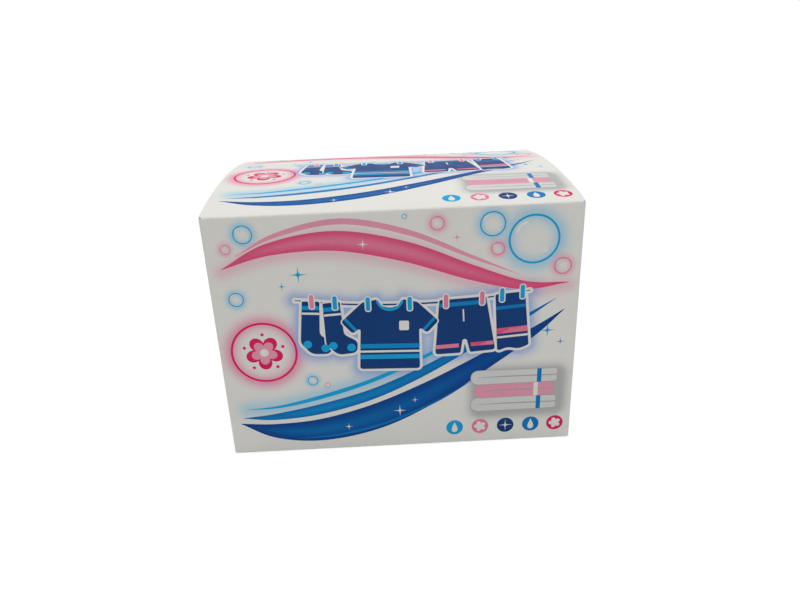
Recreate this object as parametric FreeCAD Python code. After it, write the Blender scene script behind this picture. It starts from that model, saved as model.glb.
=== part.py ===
import FreeCAD, Part
import math
import os

from FreeCAD import Vector

# A washing powder box: a carton folded from one sheet of board, its tuck lid,
# the powder that it is filled with and the measuring spoon that lies on it.
#
# Millimetres. The origin is the centre of the underside, +Z is up, the front
# panel faces -Y and the lid turns about its fold with the front panel.

# Carton, outside
width = 125.0
depth = 89.0
height = 91.0
board = 0.5  # thickness of the sheet
fold_radius = 1.0  # outside radius of a fold

# Glued seam, where the right-hand side panel covers the back panel's tab
glue_tab_width = 13.0
glue_tab_bevel = 4.0  # how much lower the free edge of the tab is
seam_setback = 0.4  # from the side panel's cut edge to the back panel's face

# Glued bottom: side flaps first, then the back flap, then the front flap
side_flap_length = 38.0
back_flap_length = 66.0
front_flap_setback = 2.0  # from its cut edge to the back panel's face
flap_side_play = 0.8  # each side of a flap, beside the fold that it lies next to

# Dust flaps, folded in at the sides under the lid
dust_flap_length = 34.0
dust_flap_taper = 19.0  # how much the free edge is cut back at each end
dust_flap_corner = 6.0
dust_flap_end_play = 2.2  # each end of its fold, to the front or back panel

# Lid, which bows up between its fold with the front panel and its tuck fold
lid_fold_radius = 0.9  # outside radius of both folds
lid_bow = 3.2
lid_side_inset = 0.4  # from the lid's cut edge to the side panel's face
lid_shoulder = 1.5  # length over which the lid widens from its hinge to that
lid_corner = 2.5
tuck_fold_rise = 0.3  # the tuck fold's top above the back panel's edge
tuck_length = 15.0
tuck_side_inset = 2.2
tuck_corner = 8.0
lock_slit_length = 7.0
lock_slit_height = 0.35

# Measuring spoon
bowl_length = 47.0
bowl_width = 36.0
bowl_depth = 21.0
bowl_nose_slope = 11.0  # how far the front wall leans in, rim to floor
bowl_heel_slope = 4.0
bowl_side_slope = 4.0
bowl_corner = 6.0
bowl_knee = 2.5  # height of the bevel round the floor
spoon_wall = 1.1
rim_lip_width = 1.5
rim_lip_thickness = 1.2
handle_length = 45.0
handle_width = 12.0
handle_tip_rounding = 0.98  # of half the width, so that a short flat stays at the tip
handle_root_width = 24.0
handle_flare = 12.0  # where the taper from its root ends
handle_flare_radius = 18.0
handle_plate = 1.3
handle_edge_depth = 2.8
handle_edge_width = 1.0
hang_hole_diameter = 4.5
hang_hole_from_tip = 6.5

# Powder, and the spoon's place on it
headspace = 30.0  # from the top of the carton down to the powder
powder_play = 0.25  # between the powder's solid and the carton
powder_swell = 1.2  # height of the low waves on the powder
powder_waves = (1.15, 0.85)  # how many fit into the width and the depth
powder_wave_starts = (0.6, -0.4)  # radians, at the middle
powder_samples = (9, 7)  # points across and along, through which the surface runs
spoon_sink = 5.0  # the bowl's floor below the powder's level
spoon_turn = -9.0  # degrees, seen from above
spoon_from_middle = 6.0  # towards the back

# Running clearances
lid_play = 0.2  # between the lid and what it closes on
flap_play = 0.25  # between a dust flap and the bowed lid above it

half_width = width / 2
half_depth = depth / 2
side_top = height - board - lid_play  # outside of the fold of a dust flap
wall_foot = 2 * board + 2 * fold_radius  # straight walls end here, above the folds
inner_radius = fold_radius - board
tuck_face = half_depth - board - lid_play  # the tuck flap's outside, at its fold
hinge_angle = math.radians(45)  # where the lid starts on its fold with the front panel


def line(a, b):
    """Straight edge from a to b."""
    return Part.LineSegment(a, b).toShape()


def arc(a, middle, b):
    """Circular edge from a through middle to b."""
    return Part.Arc(a, middle, b).toShape()


def face_of(edges):
    """Face inside a closed chain of edges."""
    return Part.Face(Part.Wire(Part.sortEdges(edges)[0]))


def across(a, b):
    """Box between two opposite corners."""
    low = Vector(min(a.x, b.x), min(a.y, b.y), min(a.z, b.z))
    size = Vector(abs(a.x - b.x), abs(a.y - b.y), abs(a.z - b.z))
    return Part.makeBox(size.x, size.y, size.z, low)


def folded_section(corners, place):
    """Section of the sheet where it is folded at each inner corner.

    corners are points of the sheet's outside, in a plane, in the order in which
    the inside lies to the left. place puts a point of that plane in the part.
    """
    points = [Vector(u, v, 0) for u, v in corners]
    runs = [(b - a).normalize() for a, b in zip(points, points[1:])]
    inwards = [Vector(-run.y, run.x, 0) for run in runs]
    edges = []
    ends = []
    for inset in (0.0, board):
        last = points[0] + inwards[0] * inset
        first = last
        for index in range(1, len(runs)):
            turn = runs[index - 1].getAngle(runs[index])
            tangent = fold_radius * math.tan(turn / 2)
            start = points[index] - runs[index - 1] * tangent
            stop = points[index] + runs[index] * tangent
            centre = start + inwards[index - 1] * fold_radius
            outwards = -(inwards[index - 1] + inwards[index]).normalize()
            start = start + inwards[index - 1] * inset
            stop = stop + inwards[index] * inset
            middle = centre + outwards * (fold_radius - inset)
            edges.append(line(place(last), place(start)))
            edges.append(arc(place(start), place(middle), place(stop)))
            last = stop
        final = points[-1] + inwards[-1] * inset
        edges.append(line(place(last), place(final)))
        ends.append((first, final))
    for outer, inner in zip(*ends):
        edges.append(line(place(outer), place(inner)))
    return face_of(edges)


def rounded_outline(points, radii):
    """Face in the XY plane, with each corner rounded by its radius."""
    count = len(points)
    edges = []
    tangents = []
    for index, (point, radius) in enumerate(zip(points, radii)):
        before = (points[index - 1] - point).normalize()
        after = (points[(index + 1) % count] - point).normalize()
        if radius == 0:
            tangents.append((point, point))
            continue
        half = before.getAngle(after) / 2
        reach = radius / math.tan(half)
        start = point + before * reach
        stop = point + after * reach
        towards = (before + after).normalize()
        middle = point + towards * (radius / math.sin(half) - radius)
        edges.append(arc(start, middle, stop))
        tangents.append((start, stop))
    for index in range(count):
        start = tangents[index][1]
        stop = tangents[(index + 1) % count][0]
        if start.distanceToPoint(stop) > 1e-6:
            edges.append(line(start, stop))
    return face_of(edges)


def tube_walls():
    """Front, back and side panels, with the glue tab inside the side panel."""
    def flat(point):
        return Vector(point.x, point.y, board)

    tab_face = half_width - board
    tab_end = half_depth - glue_tab_width
    split = tab_face - wall_foot  # where the tab's strip joins the back panel's
    tab = folded_section(
        [(tab_face, tab_end), (tab_face, half_depth), (split, half_depth)], flat
    )
    around = folded_section(
        [
            (split, half_depth),
            (-half_width, half_depth),
            (-half_width, -half_depth),
            (half_width, -half_depth),
            (half_width, half_depth - seam_setback),
        ],
        flat,
    )
    walls = around.extrude(Vector(0, 0, height - board))
    tab = tab.extrude(Vector(0, 0, height - board))
    tab_root = half_depth - fold_radius - seam_setback
    tab_top = side_top - fold_radius
    above_tab = face_of(
        [
            line(Vector(0, tab_root, height), Vector(0, tab_root, tab_top)),
            line(Vector(0, tab_root, tab_top), Vector(0, tab_end, tab_top - glue_tab_bevel)),
            line(Vector(0, tab_end, tab_top - glue_tab_bevel), Vector(0, tab_end, height)),
            line(Vector(0, tab_end, height), Vector(0, tab_root, height)),
        ]
    ).extrude(Vector(width, 0, 0))
    below_tab = across(
        Vector(0, tab_root, 0), Vector(half_width, tab_end, wall_foot + board)
    )
    return walls.fuse(tab.cut(above_tab.fuse(below_tab)))


def opened_for_folds(walls):
    """The walls, with their straight panels cut to where each one folds."""
    past = fold_radius  # cuts reach this far beyond the faces that they open
    panel_x = half_width - fold_radius
    panel_y = half_depth - fold_radius
    # The back panel's cut stops at its fold with the tab
    for side, right_x in ((-1, panel_x), (1, panel_x - board)):
        walls = walls.cut(
            across(
                Vector(-panel_x, side * (panel_y + inner_radius), 0),
                Vector(right_x, side * (half_depth + past), wall_foot),
            )
        )
    # The right-hand panel's cut runs out past its free edge at the seam
    for side, back_y in ((-1, panel_y), (1, half_depth)):
        walls = walls.cut(
            across(
                Vector(side * (panel_x + inner_radius), -panel_y, 0),
                Vector(side * (half_width + past), back_y, wall_foot),
            )
        )
        walls = walls.cut(
            across(
                Vector(side * (panel_x + inner_radius), -panel_y, side_top - fold_radius),
                Vector(side * (half_width + past), back_y, height + past),
            )
        )
    front_top = across(
        Vector(-half_width, -half_depth, height - lid_fold_radius),
        Vector(half_width, -panel_y, height),
    )
    return walls.cut(front_top)


def hinge_line():
    """The lid's axis, in the YZ plane: on the outside of its fold."""
    centre = Vector(0, lid_fold_radius - half_depth, height - lid_fold_radius)
    outwards = Vector(0, -math.sin(hinge_angle), math.cos(hinge_angle))
    return centre + outwards * lid_fold_radius


def front_fold():
    """The front panel's part of its fold with the lid."""
    centre = Vector(0, lid_fold_radius - half_depth, height - lid_fold_radius)
    half_turn = (math.pi / 2 - hinge_angle) / 2
    edges = []
    ends = []
    for radius in (lid_fold_radius, lid_fold_radius - board):
        points = [centre + Vector(0, -radius, -lid_fold_radius)]
        for turn in (0.0, half_turn, 2 * half_turn):
            points.append(
                centre + Vector(0, -radius * math.cos(turn), radius * math.sin(turn))
            )
        edges.append(line(points[0], points[1]))
        edges.append(arc(points[1], points[2], points[3]))
        ends.append((points[0], points[3]))
    for outer, inner in zip(*ends):
        edges.append(line(outer, inner))
    fold = face_of(edges).extrude(Vector(width - 2 * fold_radius, 0, 0))
    fold.translate(Vector(fold_radius - half_width, 0, 0))
    return fold


def bottom_flap(reach, level, length, place, half_run, direction):
    """One bottom flap with its fold, as wide as twice half_run."""
    section = folded_section(
        [(-reach, wall_foot), (-reach, level), (length - reach, level)], place
    )
    flap = section.extrude(direction * (2 * half_run))
    flap.translate(direction * -half_run)
    return flap


def bottom_flaps():
    """The four glued flaps, from the outermost in."""
    panel_x = half_width - fold_radius
    panel_y = half_depth - fold_radius - flap_side_play
    along_x = Vector(1, 0, 0)
    along_y = Vector(0, 1, 0)
    flaps = [
        bottom_flap(
            half_depth,
            0.0,
            depth - front_flap_setback,
            lambda p: Vector(0, p.x, p.y),
            panel_x,
            along_x,
        ),
        bottom_flap(
            half_depth,
            board,
            back_flap_length,
            lambda p: Vector(0, -p.x, p.y),
            panel_x,
            along_x,
        ),
        bottom_flap(
            half_width,
            2 * board,
            side_flap_length,
            lambda p: Vector(p.x, 0, p.y),
            panel_y,
            along_y,
        ),
        bottom_flap(
            half_width,
            2 * board,
            side_flap_length,
            lambda p: Vector(-p.x, 0, p.y),
            panel_y,
            along_y,
        ),
    ]
    return flaps


def lid_curve():
    """Centre and radius of the lid's outside, a circle that touches both its folds."""
    front = Vector(0, lid_fold_radius - half_depth, height - lid_fold_radius)
    back = Vector(
        0, tuck_face - lid_fold_radius, height + tuck_fold_rise - lid_fold_radius
    )
    chord = front.distanceToPoint(back)
    radius = chord * chord / (8 * lid_bow) + lid_bow / 2
    along = (back - front).normalize()
    down = Vector(0, along.z, -along.y)
    centre = (back + front) * 0.5 + down * (radius - lid_bow)
    return centre, radius + lid_fold_radius, front, back


def lid_underside(y):
    """Height of the lid's underside at y."""
    centre, radius, _, _ = lid_curve()
    return centre.z + math.sqrt((radius - board) ** 2 - (y - centre.y) ** 2)


def dust_flap(side):
    """A side panel's flap, sprung up against the bowed lid."""
    end_y = half_depth - board - dust_flap_end_play
    free_y = end_y - dust_flap_taper
    free_top = lid_underside(free_y) - flap_play
    rise = math.asin((free_top - side_top) / dust_flap_length)
    section = folded_section(
        [
            (half_width, side_top - fold_radius),
            (half_width, side_top),
            (
                half_width - dust_flap_length * math.cos(rise),
                side_top + dust_flap_length * math.sin(rise),
            ),
        ],
        lambda p: Vector(side * p.x, -half_depth, p.y),
    )
    flap = section.extrude(Vector(0, depth, 0))
    root_x = half_width + fold_radius
    shoulder_x = half_width - fold_radius
    free_x = half_width - dust_flap_length
    outline = rounded_outline(
        [
            Vector(side * root_x, -end_y, 0),
            Vector(side * shoulder_x, -end_y, 0),
            Vector(side * free_x, -free_y, 0),
            Vector(side * free_x, free_y, 0),
            Vector(side * shoulder_x, end_y, 0),
            Vector(side * root_x, end_y, 0),
        ],
        [0, 0, dust_flap_corner, dust_flap_corner, 0, 0],
    )
    return flap.common(outline.extrude(Vector(0, 0, 2 * height)))


def side_panel_top(side):
    """What closes the side panel between the dust flap's ends and the corners."""
    end_y = half_depth - board - dust_flap_end_play
    top = side_top - fold_radius
    stub = top - fold_radius
    return across(
        Vector(side * half_width, -end_y, stub), Vector(side * (half_width - board), end_y, top)
    )


def carton():
    """The folded sheet without its lid, as one solid."""
    walls = opened_for_folds(tube_walls())
    pieces = bottom_flaps() + [front_fold()]
    for side in (-1, 1):
        pieces.append(dust_flap(side))
        pieces.append(side_panel_top(side))
    return walls.multiFuse(pieces).removeSplitter()


def lid_section():
    """Section of the lid's hinge fold, bow, tuck fold and tuck flap, at x = 0."""
    centre, radius, front, back = lid_curve()
    swing = tuck_face - hinge_line().y
    lean_in = swing - math.sqrt(swing ** 2 - tuck_length ** 2) + lid_play
    lean = math.asin(lean_in / tuck_length)
    backwards = Vector(0, math.cos(lean), -math.sin(lean))
    downwards = Vector(0, -math.sin(lean), -math.cos(lean))
    hinge = Vector(0, -math.sin(hinge_angle), math.cos(hinge_angle))
    to_front = (front - centre).normalize()
    to_back = (back - centre).normalize()
    to_middle = (to_front + to_back).normalize()
    edges = []
    ends = []
    for inset in (0.0, board):
        turn = lid_fold_radius - inset
        bow = radius - inset
        start = front + hinge * turn
        front_touch = front + to_front * turn
        back_touch = back + to_back * turn
        tuck_start = back + backwards * turn
        tip = tuck_start + downwards * tuck_length
        front_middle = front + (hinge + to_front).normalize() * turn
        back_middle = back + (to_back + backwards).normalize() * turn
        edges.append(arc(start, front_middle, front_touch))
        edges.append(arc(front_touch, centre + to_middle * bow, back_touch))
        edges.append(arc(back_touch, back_middle, tuck_start))
        edges.append(line(tuck_start, tip))
        ends.append((start, tip))
    for outer, inner in zip(*ends):
        edges.append(line(outer, inner))
    return face_of(edges)


def lid():
    """The lid panel and its tuck flap, as the sheet's last panel."""
    edge_x = half_width - lid_side_inset
    hinge_x = half_width - fold_radius
    tuck_x = edge_x - tuck_side_inset
    fold_start = tuck_face - lid_fold_radius
    sheet = lid_section().extrude(Vector(2 * edge_x, 0, 0))
    sheet.translate(Vector(-edge_x, 0, 0))
    panel = rounded_outline(
        [
            Vector(-hinge_x, -half_depth, 0),
            Vector(hinge_x, -half_depth, 0),
            Vector(edge_x, lid_shoulder - half_depth, 0),
            Vector(edge_x, tuck_face, 0),
            Vector(-edge_x, tuck_face, 0),
            Vector(-edge_x, lid_shoulder - half_depth, 0),
        ],
        [0, 0, 0, lid_corner, lid_corner, 0],
    )
    above_fold = panel.extrude(Vector(0, 0, 2 * height)).common(
        across(
            Vector(-width, -depth, height + tuck_fold_rise - lid_fold_radius),
            Vector(width, depth, 2 * height),
        )
    )
    in_front = panel.extrude(Vector(0, 0, 2 * height)).common(
        across(
            Vector(-width, -depth, height - 2 * lid_fold_radius),
            Vector(width, fold_start, 2 * height),
        )
    )
    tuck = rounded_outline(
        [
            Vector(-tuck_x, height - tuck_length, 0),
            Vector(tuck_x, height - tuck_length, 0),
            Vector(tuck_x, 2 * height, 0),
            Vector(-tuck_x, 2 * height, 0),
        ],
        [tuck_corner, tuck_corner, 0, 0],
    )
    tuck.rotate(Vector(0, 0, 0), Vector(1, 0, 0), 90)
    tuck = tuck.extrude(Vector(0, depth, 0))
    parts = [sheet.common(region) for region in (above_fold.fuse(in_front), tuck)]
    sheet = parts[0].fuse(parts[1]).removeSplitter()
    slit_top = height + tuck_fold_rise - lid_fold_radius
    for side in (-1, 1):
        sheet = sheet.cut(
            across(
                Vector(side * (tuck_x - lock_slit_length), depth, slit_top - lock_slit_height),
                Vector(side * width, fold_start, slit_top),
            )
        )
    return sheet


def bowl_ring(inset, level, slope):
    """Rounded outline of the bowl at a level, with slope from 0 rim to 1 floor."""
    nose = -bowl_length + inset + bowl_nose_slope * slope
    heel = -inset - bowl_heel_slope * slope
    half = bowl_width / 2 - inset - bowl_side_slope * slope
    radius = bowl_corner - inset
    ring = rounded_outline(
        [
            Vector(nose, -half, 0),
            Vector(heel, -half, 0),
            Vector(heel, half, 0),
            Vector(nose, half, 0),
        ],
        [radius] * 4,
    )
    ring.translate(Vector(0, 0, level))
    return ring.OuterWire


def bowl_solid(inset, floor):
    """The bowl's outside, or its hollow when inset by the wall, rim at level 0."""
    knee = floor + bowl_knee
    return Part.makeLoft(
        [
            bowl_ring(inset + bowl_knee / 2, floor, -floor / bowl_depth),
            bowl_ring(inset, knee, -knee / bowl_depth),
            bowl_ring(inset, 0.0, 0.0),
        ],
        True,
        True,
    )


def handle_outline():
    """Plan of the handle, from under the rim's lip to its round tip."""
    root = -rim_lip_width
    half_root = handle_root_width / 2
    half = handle_width / 2
    tip_radius = handle_tip_rounding * half
    outline = rounded_outline(
        [
            Vector(root, -half_root, 0),
            Vector(handle_flare, -half, 0),
            Vector(handle_length, -half, 0),
            Vector(handle_length, half, 0),
            Vector(handle_flare, half, 0),
            Vector(root, half_root, 0),
        ],
        [0, handle_flare_radius, tip_radius, tip_radius, handle_flare_radius, 0],
    )
    return outline.OuterWire


def spoon_handle():
    """Thin plate with a turned-down edge all round, and a hole to hang it by."""
    outline = handle_outline()
    top = Part.Face(outline)
    hollow = Part.Face(outline.makeOffset2D(-handle_edge_width))
    body = top.extrude(Vector(0, 0, -handle_edge_depth))
    groove = hollow.extrude(Vector(0, 0, handle_plate - handle_edge_depth))
    groove.translate(Vector(0, 0, -handle_plate))
    hole_x = handle_length - hang_hole_from_tip
    boss = Part.makeCylinder(
        hang_hole_diameter / 2 + handle_edge_width,
        handle_edge_depth,
        Vector(hole_x, 0, -handle_edge_depth),
    )
    hole = Part.makeCylinder(
        hang_hole_diameter / 2,
        2 * handle_edge_depth,
        Vector(hole_x, 0, -1.5 * handle_edge_depth),
    )
    return body.cut(groove).fuse(boss).cut(hole)


def spoon_place(shape):
    """Moves a shape from the spoon's own frame to its place on the powder."""
    rim_level = height - headspace - spoon_sink + bowl_depth
    shape.translate(Vector((bowl_length - handle_length) / 2, 0, 0))
    shape.rotate(Vector(0, 0, 0), Vector(0, 0, 1), spoon_turn)
    shape.translate(Vector(0, spoon_from_middle, rim_level))
    return shape


def measuring_spoon():
    """The moulded spoon: bowl, lip round its rim and ribbed handle."""
    outside = bowl_solid(0.0, -bowl_depth)
    hollow = bowl_solid(spoon_wall, spoon_wall - bowl_depth)
    lip = Part.Face(bowl_ring(-rim_lip_width, 0.0, 0.0)).extrude(
        Vector(0, 0, -rim_lip_thickness)
    )
    spoon = outside.fuse([lip, spoon_handle()]).cut(hollow)
    return spoon_place(spoon.removeSplitter())


def powder():
    """The fill, with a low uneven top and the spoon's bed pressed into it."""
    play = 2 * board + powder_play
    low = 3 * board
    block = across(
        Vector(play - half_width, play - half_depth, low),
        Vector(half_width - play, half_depth - play, height),
    )
    block = block.makeFillet(
        fold_radius,
        [edge for edge in block.Edges if abs(edge.tangentAt(0).z) > 0.5],
    )
    level = height - headspace
    columns, rows = powder_samples
    heights = []
    for column in range(columns):
        x = width * (column / (columns - 1) - 0.5)
        run = []
        for row in range(rows):
            y = depth * (row / (rows - 1) - 0.5)
            wave = 1.0
            for waves, start, share in zip(
                powder_waves, powder_wave_starts, (x / width, y / depth)
            ):
                wave *= math.cos(2 * math.pi * waves * share + start)
            run.append(Vector(x, y, level + powder_swell * wave))
        heights.append(run)
    surface = Part.BSplineSurface()
    surface.interpolate(heights)
    above = surface.toShape().extrude(Vector(0, 0, height))
    bed = spoon_place(bowl_solid(0.0, -bowl_depth))
    return block.cut(above).cut(bed)


def main():
    os.makedirs("parts", exist_ok=True)
    made = {
        "carton": carton(),
        "lid": lid(),
        "measuring_spoon": measuring_spoon(),
        "powder": powder(),
    }
    for name, shape in made.items():
        print(
            name,
            "solids", len(shape.Solids),
            "valid", shape.isValid(),
            "volume", round(shape.Volume, 1),
        )
        shape.exportStep(os.path.join("parts", name + ".step"))


main()
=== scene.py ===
"""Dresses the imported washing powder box: its folded board, its print, the powder and the spoon.

Sizes are in millimetres, as a box maker gives them, and become metres where a mesh is made. Every
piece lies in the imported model's frame, whose origin is the middle of the box's underside.
"""

from __future__ import annotations

import logging
import math
from collections.abc import Sequence
from dataclasses import dataclass, field
from enum import Enum

import bmesh
import bpy
import numpy as np
from bpy.types import ID, Material, Mesh, Node, NodeOutputs, NodeSocket, NodeTree, Object
from mathutils import Matrix, Vector
from mathutils.geometry import delaunay_2d_cdt

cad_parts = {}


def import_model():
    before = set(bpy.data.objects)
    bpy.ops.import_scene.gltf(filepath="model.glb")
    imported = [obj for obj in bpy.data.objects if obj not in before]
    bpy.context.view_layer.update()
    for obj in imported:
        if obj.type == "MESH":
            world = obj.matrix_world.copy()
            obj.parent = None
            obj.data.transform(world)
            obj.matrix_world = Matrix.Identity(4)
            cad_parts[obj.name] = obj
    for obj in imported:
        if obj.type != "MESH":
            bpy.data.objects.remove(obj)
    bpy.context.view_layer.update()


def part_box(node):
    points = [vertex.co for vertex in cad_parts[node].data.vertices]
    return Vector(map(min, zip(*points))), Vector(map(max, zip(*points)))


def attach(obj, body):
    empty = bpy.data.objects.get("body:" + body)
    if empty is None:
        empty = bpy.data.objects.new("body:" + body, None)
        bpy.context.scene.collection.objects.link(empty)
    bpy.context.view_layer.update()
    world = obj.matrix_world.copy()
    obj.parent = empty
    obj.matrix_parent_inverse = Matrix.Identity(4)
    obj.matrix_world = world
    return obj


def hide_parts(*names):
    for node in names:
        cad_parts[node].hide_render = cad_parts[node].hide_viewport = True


log = logging.getLogger("washing_powder_box")

MM = 0.001
QUARTER = math.pi / 2
FOLD_STEP = math.radians(15)  # how finely a fold is rounded
BOW_STEP = FOLD_STEP / 15  # how finely the lid's bow is rounded
WIDEST_FOLD = 10.0  # a larger radius is a bow
NO_PRINT = -1e4  # coordinates of the design where there is none
BATCH = 2_000_000  # pairs of a point and an edge that are looked at together

Array = np.ndarray
Points = Sequence[Sequence[float]]
Triple = tuple[float, float, float]
Pair = tuple[float, float]


class Glow(Enum):
    """The soft glows that are printed under the sharp shapes."""

    LILAC = "glow_lilac"
    CYAN = "glow_cyan"
    PINK = "glow_pink"
    SHADE = "glow_shade"
    RIM = "ribbon_rim"


class Ink(Enum):
    """The sharp inks, each a material of its own."""

    BOARD = "board_white"
    BOARD_BARE = "board_bare_white"
    NAVY = "ink_navy"
    OCEAN = "ink_ocean"
    AZURE = "ink_azure"
    CYAN = "ink_cyan"
    PINK = "ink_pink"
    ROSE = "ink_rose"
    CRIMSON = "ink_crimson"
    GREY = "ink_grey"
    PALE_GREY = "ink_pale_grey"


# Shapes on paper


def loop(points: Points) -> Array:
    """A closed outline, turned to run counter-clockwise.

    Args:
        points: The outline's points, either way round.

    Returns:
        The points as an array.
    """
    found = np.asarray(points, float)
    following = np.roll(found, -1, axis=0)
    area = np.sum(found[:, 0] * following[:, 1] - following[:, 0] * found[:, 1])
    return found if area > 0 else found[::-1]


def rounded(points: Points, radii: float | Sequence[float], step: float = 0.35) -> Array:
    """A closed outline whose corners are rounded.

    Args:
        points: The corners.
        radii: One radius for all corners, or one each. Each is cut to what its sides allow.
        step: The turn, in radians, between two points of a rounded corner.

    Returns:
        The outline's points.
    """
    corners = np.asarray(points, float)
    count = len(corners)
    sizes = np.broadcast_to(np.asarray(radii, float), count)
    found = []
    for index in range(count):
        here = corners[index]
        before = corners[index - 1] - here
        after = corners[(index + 1) % count] - here
        shorter = 0.5 * min(np.hypot(*before), np.hypot(*after))
        before = before / np.hypot(*before)
        after = after / np.hypot(*after)
        half = 0.5 * math.acos(float(np.clip(before @ after, -1, 1)))
        if sizes[index] <= 0 or half > 0.5 * math.pi - 1e-3:
            found.append(here)
            continue
        radius = min(sizes[index], 0.98 * shorter * math.tan(half))
        reach = radius / math.tan(half)
        towards = (before + after) / np.hypot(*(before + after))
        centre = here + towards * radius / math.sin(half)
        start = here + before * reach - centre
        turn = math.pi - 2 * half
        side = np.sign(before[1] * after[0] - before[0] * after[1])
        for angle in np.linspace(0, turn, max(2, math.ceil(turn / step) + 1)):
            cosine = math.cos(angle)
            sine = math.sin(angle) * side
            turned = (start[0] * cosine - start[1] * sine, start[0] * sine + start[1] * cosine)
            found.append(centre + turned)
    return loop(found)


def turns(count: int) -> Array:
    """A full circle cut into even turns, in radians."""
    return np.linspace(0, 2 * math.pi, count, endpoint=False)


def around(x: float, y: float, reach: Array) -> Array:
    """An outline whose points lie at even turns round a middle, each as far off as its reach."""
    angles = turns(len(reach))
    return np.stack((x + reach * np.cos(angles), y + reach * np.sin(angles)), axis=1)


def circle(x: float, y: float, radius: float) -> Array:
    """A round outline, with enough points for its size."""
    return around(x, y, np.full(max(20, int(9 * math.sqrt(radius) + 16)), radius))


def star(x: float, y: float, radius: float) -> Array:
    """A four-pointed sparkle with hollow sides."""
    hollow = np.abs(np.cos(turns(48))) ** 0.55 + np.abs(np.sin(turns(48))) ** 0.55
    return around(x, y, radius * hollow**-3.2)


def blossom(x: float, y: float, radius: float, petals: int = 5) -> Array:
    """A flower's outline with round petals."""
    bulge = np.abs(np.sin(petals * turns(16 * petals) / 2)) ** 0.8
    return around(x, y, radius * (0.58 + 0.42 * bulge))


def drop(x: float, y: float, height: float) -> Array:
    """A water drop, point up."""
    wide = 0.36 * height * np.sin(turns(32)) * np.sin(turns(32) / 2) ** 1.6
    return loop(np.stack((x + wide, y + 0.5 * height * np.cos(turns(32))), axis=1))


def bar(x: float, y: float, wide: float, tall: float) -> Array:
    """An upright bar round a middle point."""
    return np.array(((-1, -1), (1, -1), (1, 1), (-1, 1))) * (wide / 2, tall / 2) + (x, y)


def mirrored(points: list[Pair]) -> list[Pair]:
    """The points of the other half of an even shape, in the order that follows the first half."""
    return [(-x, y) for x, y in points[::-1]]


def placed(outline: Array, x: float, y: float, turn: float = 0.0) -> Array:
    """An outline in its place.

    Args:
        outline: The outline round its own origin.
        x: Where that origin goes, across.
        y: Where that origin goes, up.
        turn: How far it is turned first, in degrees.

    Returns:
        The points of the outline there.
    """
    cosine = math.cos(math.radians(turn))
    sine = math.sin(math.radians(turn))
    return outline @ np.array(((cosine, sine), (-sine, cosine))) + (x, y)


def smooth_line(points: Points, each: int = 9) -> Array:
    """A smooth curve through its points.

    Args:
        points: The points, with whatever number of values each holds.
        each: How many steps go from one point to the next.

    Returns:
        The points of the curve.
    """
    given = np.asarray(points, float)
    padded = np.vstack((2 * given[0] - given[1], given, 2 * given[-1] - given[-2]))
    found = []
    for index in range(1, len(padded) - 2):
        a, b, c, d = padded[index - 1 : index + 3]
        for t in np.linspace(0, 1, each, endpoint=False):
            straight = 2 * b + (c - a) * t + (2 * a - 5 * b + 4 * c - d) * t**2
            found.append(0.5 * (straight + (3 * b - a - 3 * c + d) * t**3))
    found.append(given[-1])
    return np.asarray(found)


def ribbon(points: Points) -> Array:
    """The outline of a band that follows a smooth line.

    Args:
        points: The places along the band, each with x, y and the band's width there.

    Returns:
        The outline's points.
    """
    line = smooth_line(points)
    along = np.gradient(line[:, :2], axis=0)
    along /= np.maximum(np.hypot(along[:, 0], along[:, 1]), 1e-9)[:, None]
    across = np.stack((-along[:, 1], along[:, 0]), axis=1) * line[:, 2:3] / 2
    return loop(np.vstack((line[:, :2] + across, (line[:, :2] - across)[::-1])))


def grown(outline: Array, margin: float) -> Array:
    """An outline moved outwards, its outer corners rounded.

    Args:
        outline: The outline.
        margin: How far it moves.

    Returns:
        The new outline, which may cross itself inside.
    """
    points = loop(outline)
    edges = np.roll(points, -1, axis=0) - points
    edges = edges[np.hypot(edges[:, 0], edges[:, 1]) > 1e-6]
    points = points[np.hypot(*(np.roll(points, -1, axis=0) - points).T) > 1e-6]
    angles = np.arctan2(edges[:, 1], edges[:, 0]) - math.pi / 2
    found = []
    for index, point in enumerate(points):
        start = angles[index - 1]
        turn = (angles[index] - start + math.pi) % (2 * math.pi) - math.pi
        steps = max(1, math.ceil(turn / 0.5)) if turn > 0.1 else 1
        for share in np.linspace(0, 1, steps + 1):
            angle = start + turn * share
            found.append(point + margin * np.array((math.cos(angle), math.sin(angle))))
    return np.asarray(found)


def winding(points: Array, outline: Array) -> Array:
    """How many times an outline runs round points.

    Args:
        points: The points.
        outline: The outline.

    Returns:
        The number of rounds for each point, negative where they run clockwise.
    """
    found = np.zeros(len(points), int)
    inside = (points >= outline.min(axis=0)) & (points <= outline.max(axis=0))
    near = np.flatnonzero(np.all(inside, axis=1))
    start = outline[None]
    stop = np.roll(outline, -1, axis=0)[None]
    for some in np.array_split(near, max(1, len(near) * len(outline) // BATCH)):
        here = points[some][:, None]
        side = (stop[..., 0] - start[..., 0]) * (here[..., 1] - start[..., 1])
        side = side - (here[..., 0] - start[..., 0]) * (stop[..., 1] - start[..., 1])
        rising = (start[..., 1] <= here[..., 1]) & (stop[..., 1] > here[..., 1])
        falling = (start[..., 1] > here[..., 1]) & (stop[..., 1] <= here[..., 1])
        found[some] = np.sum(rising & (side > 0), axis=1) - np.sum(falling & (side < 0), axis=1)
    return found


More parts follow.
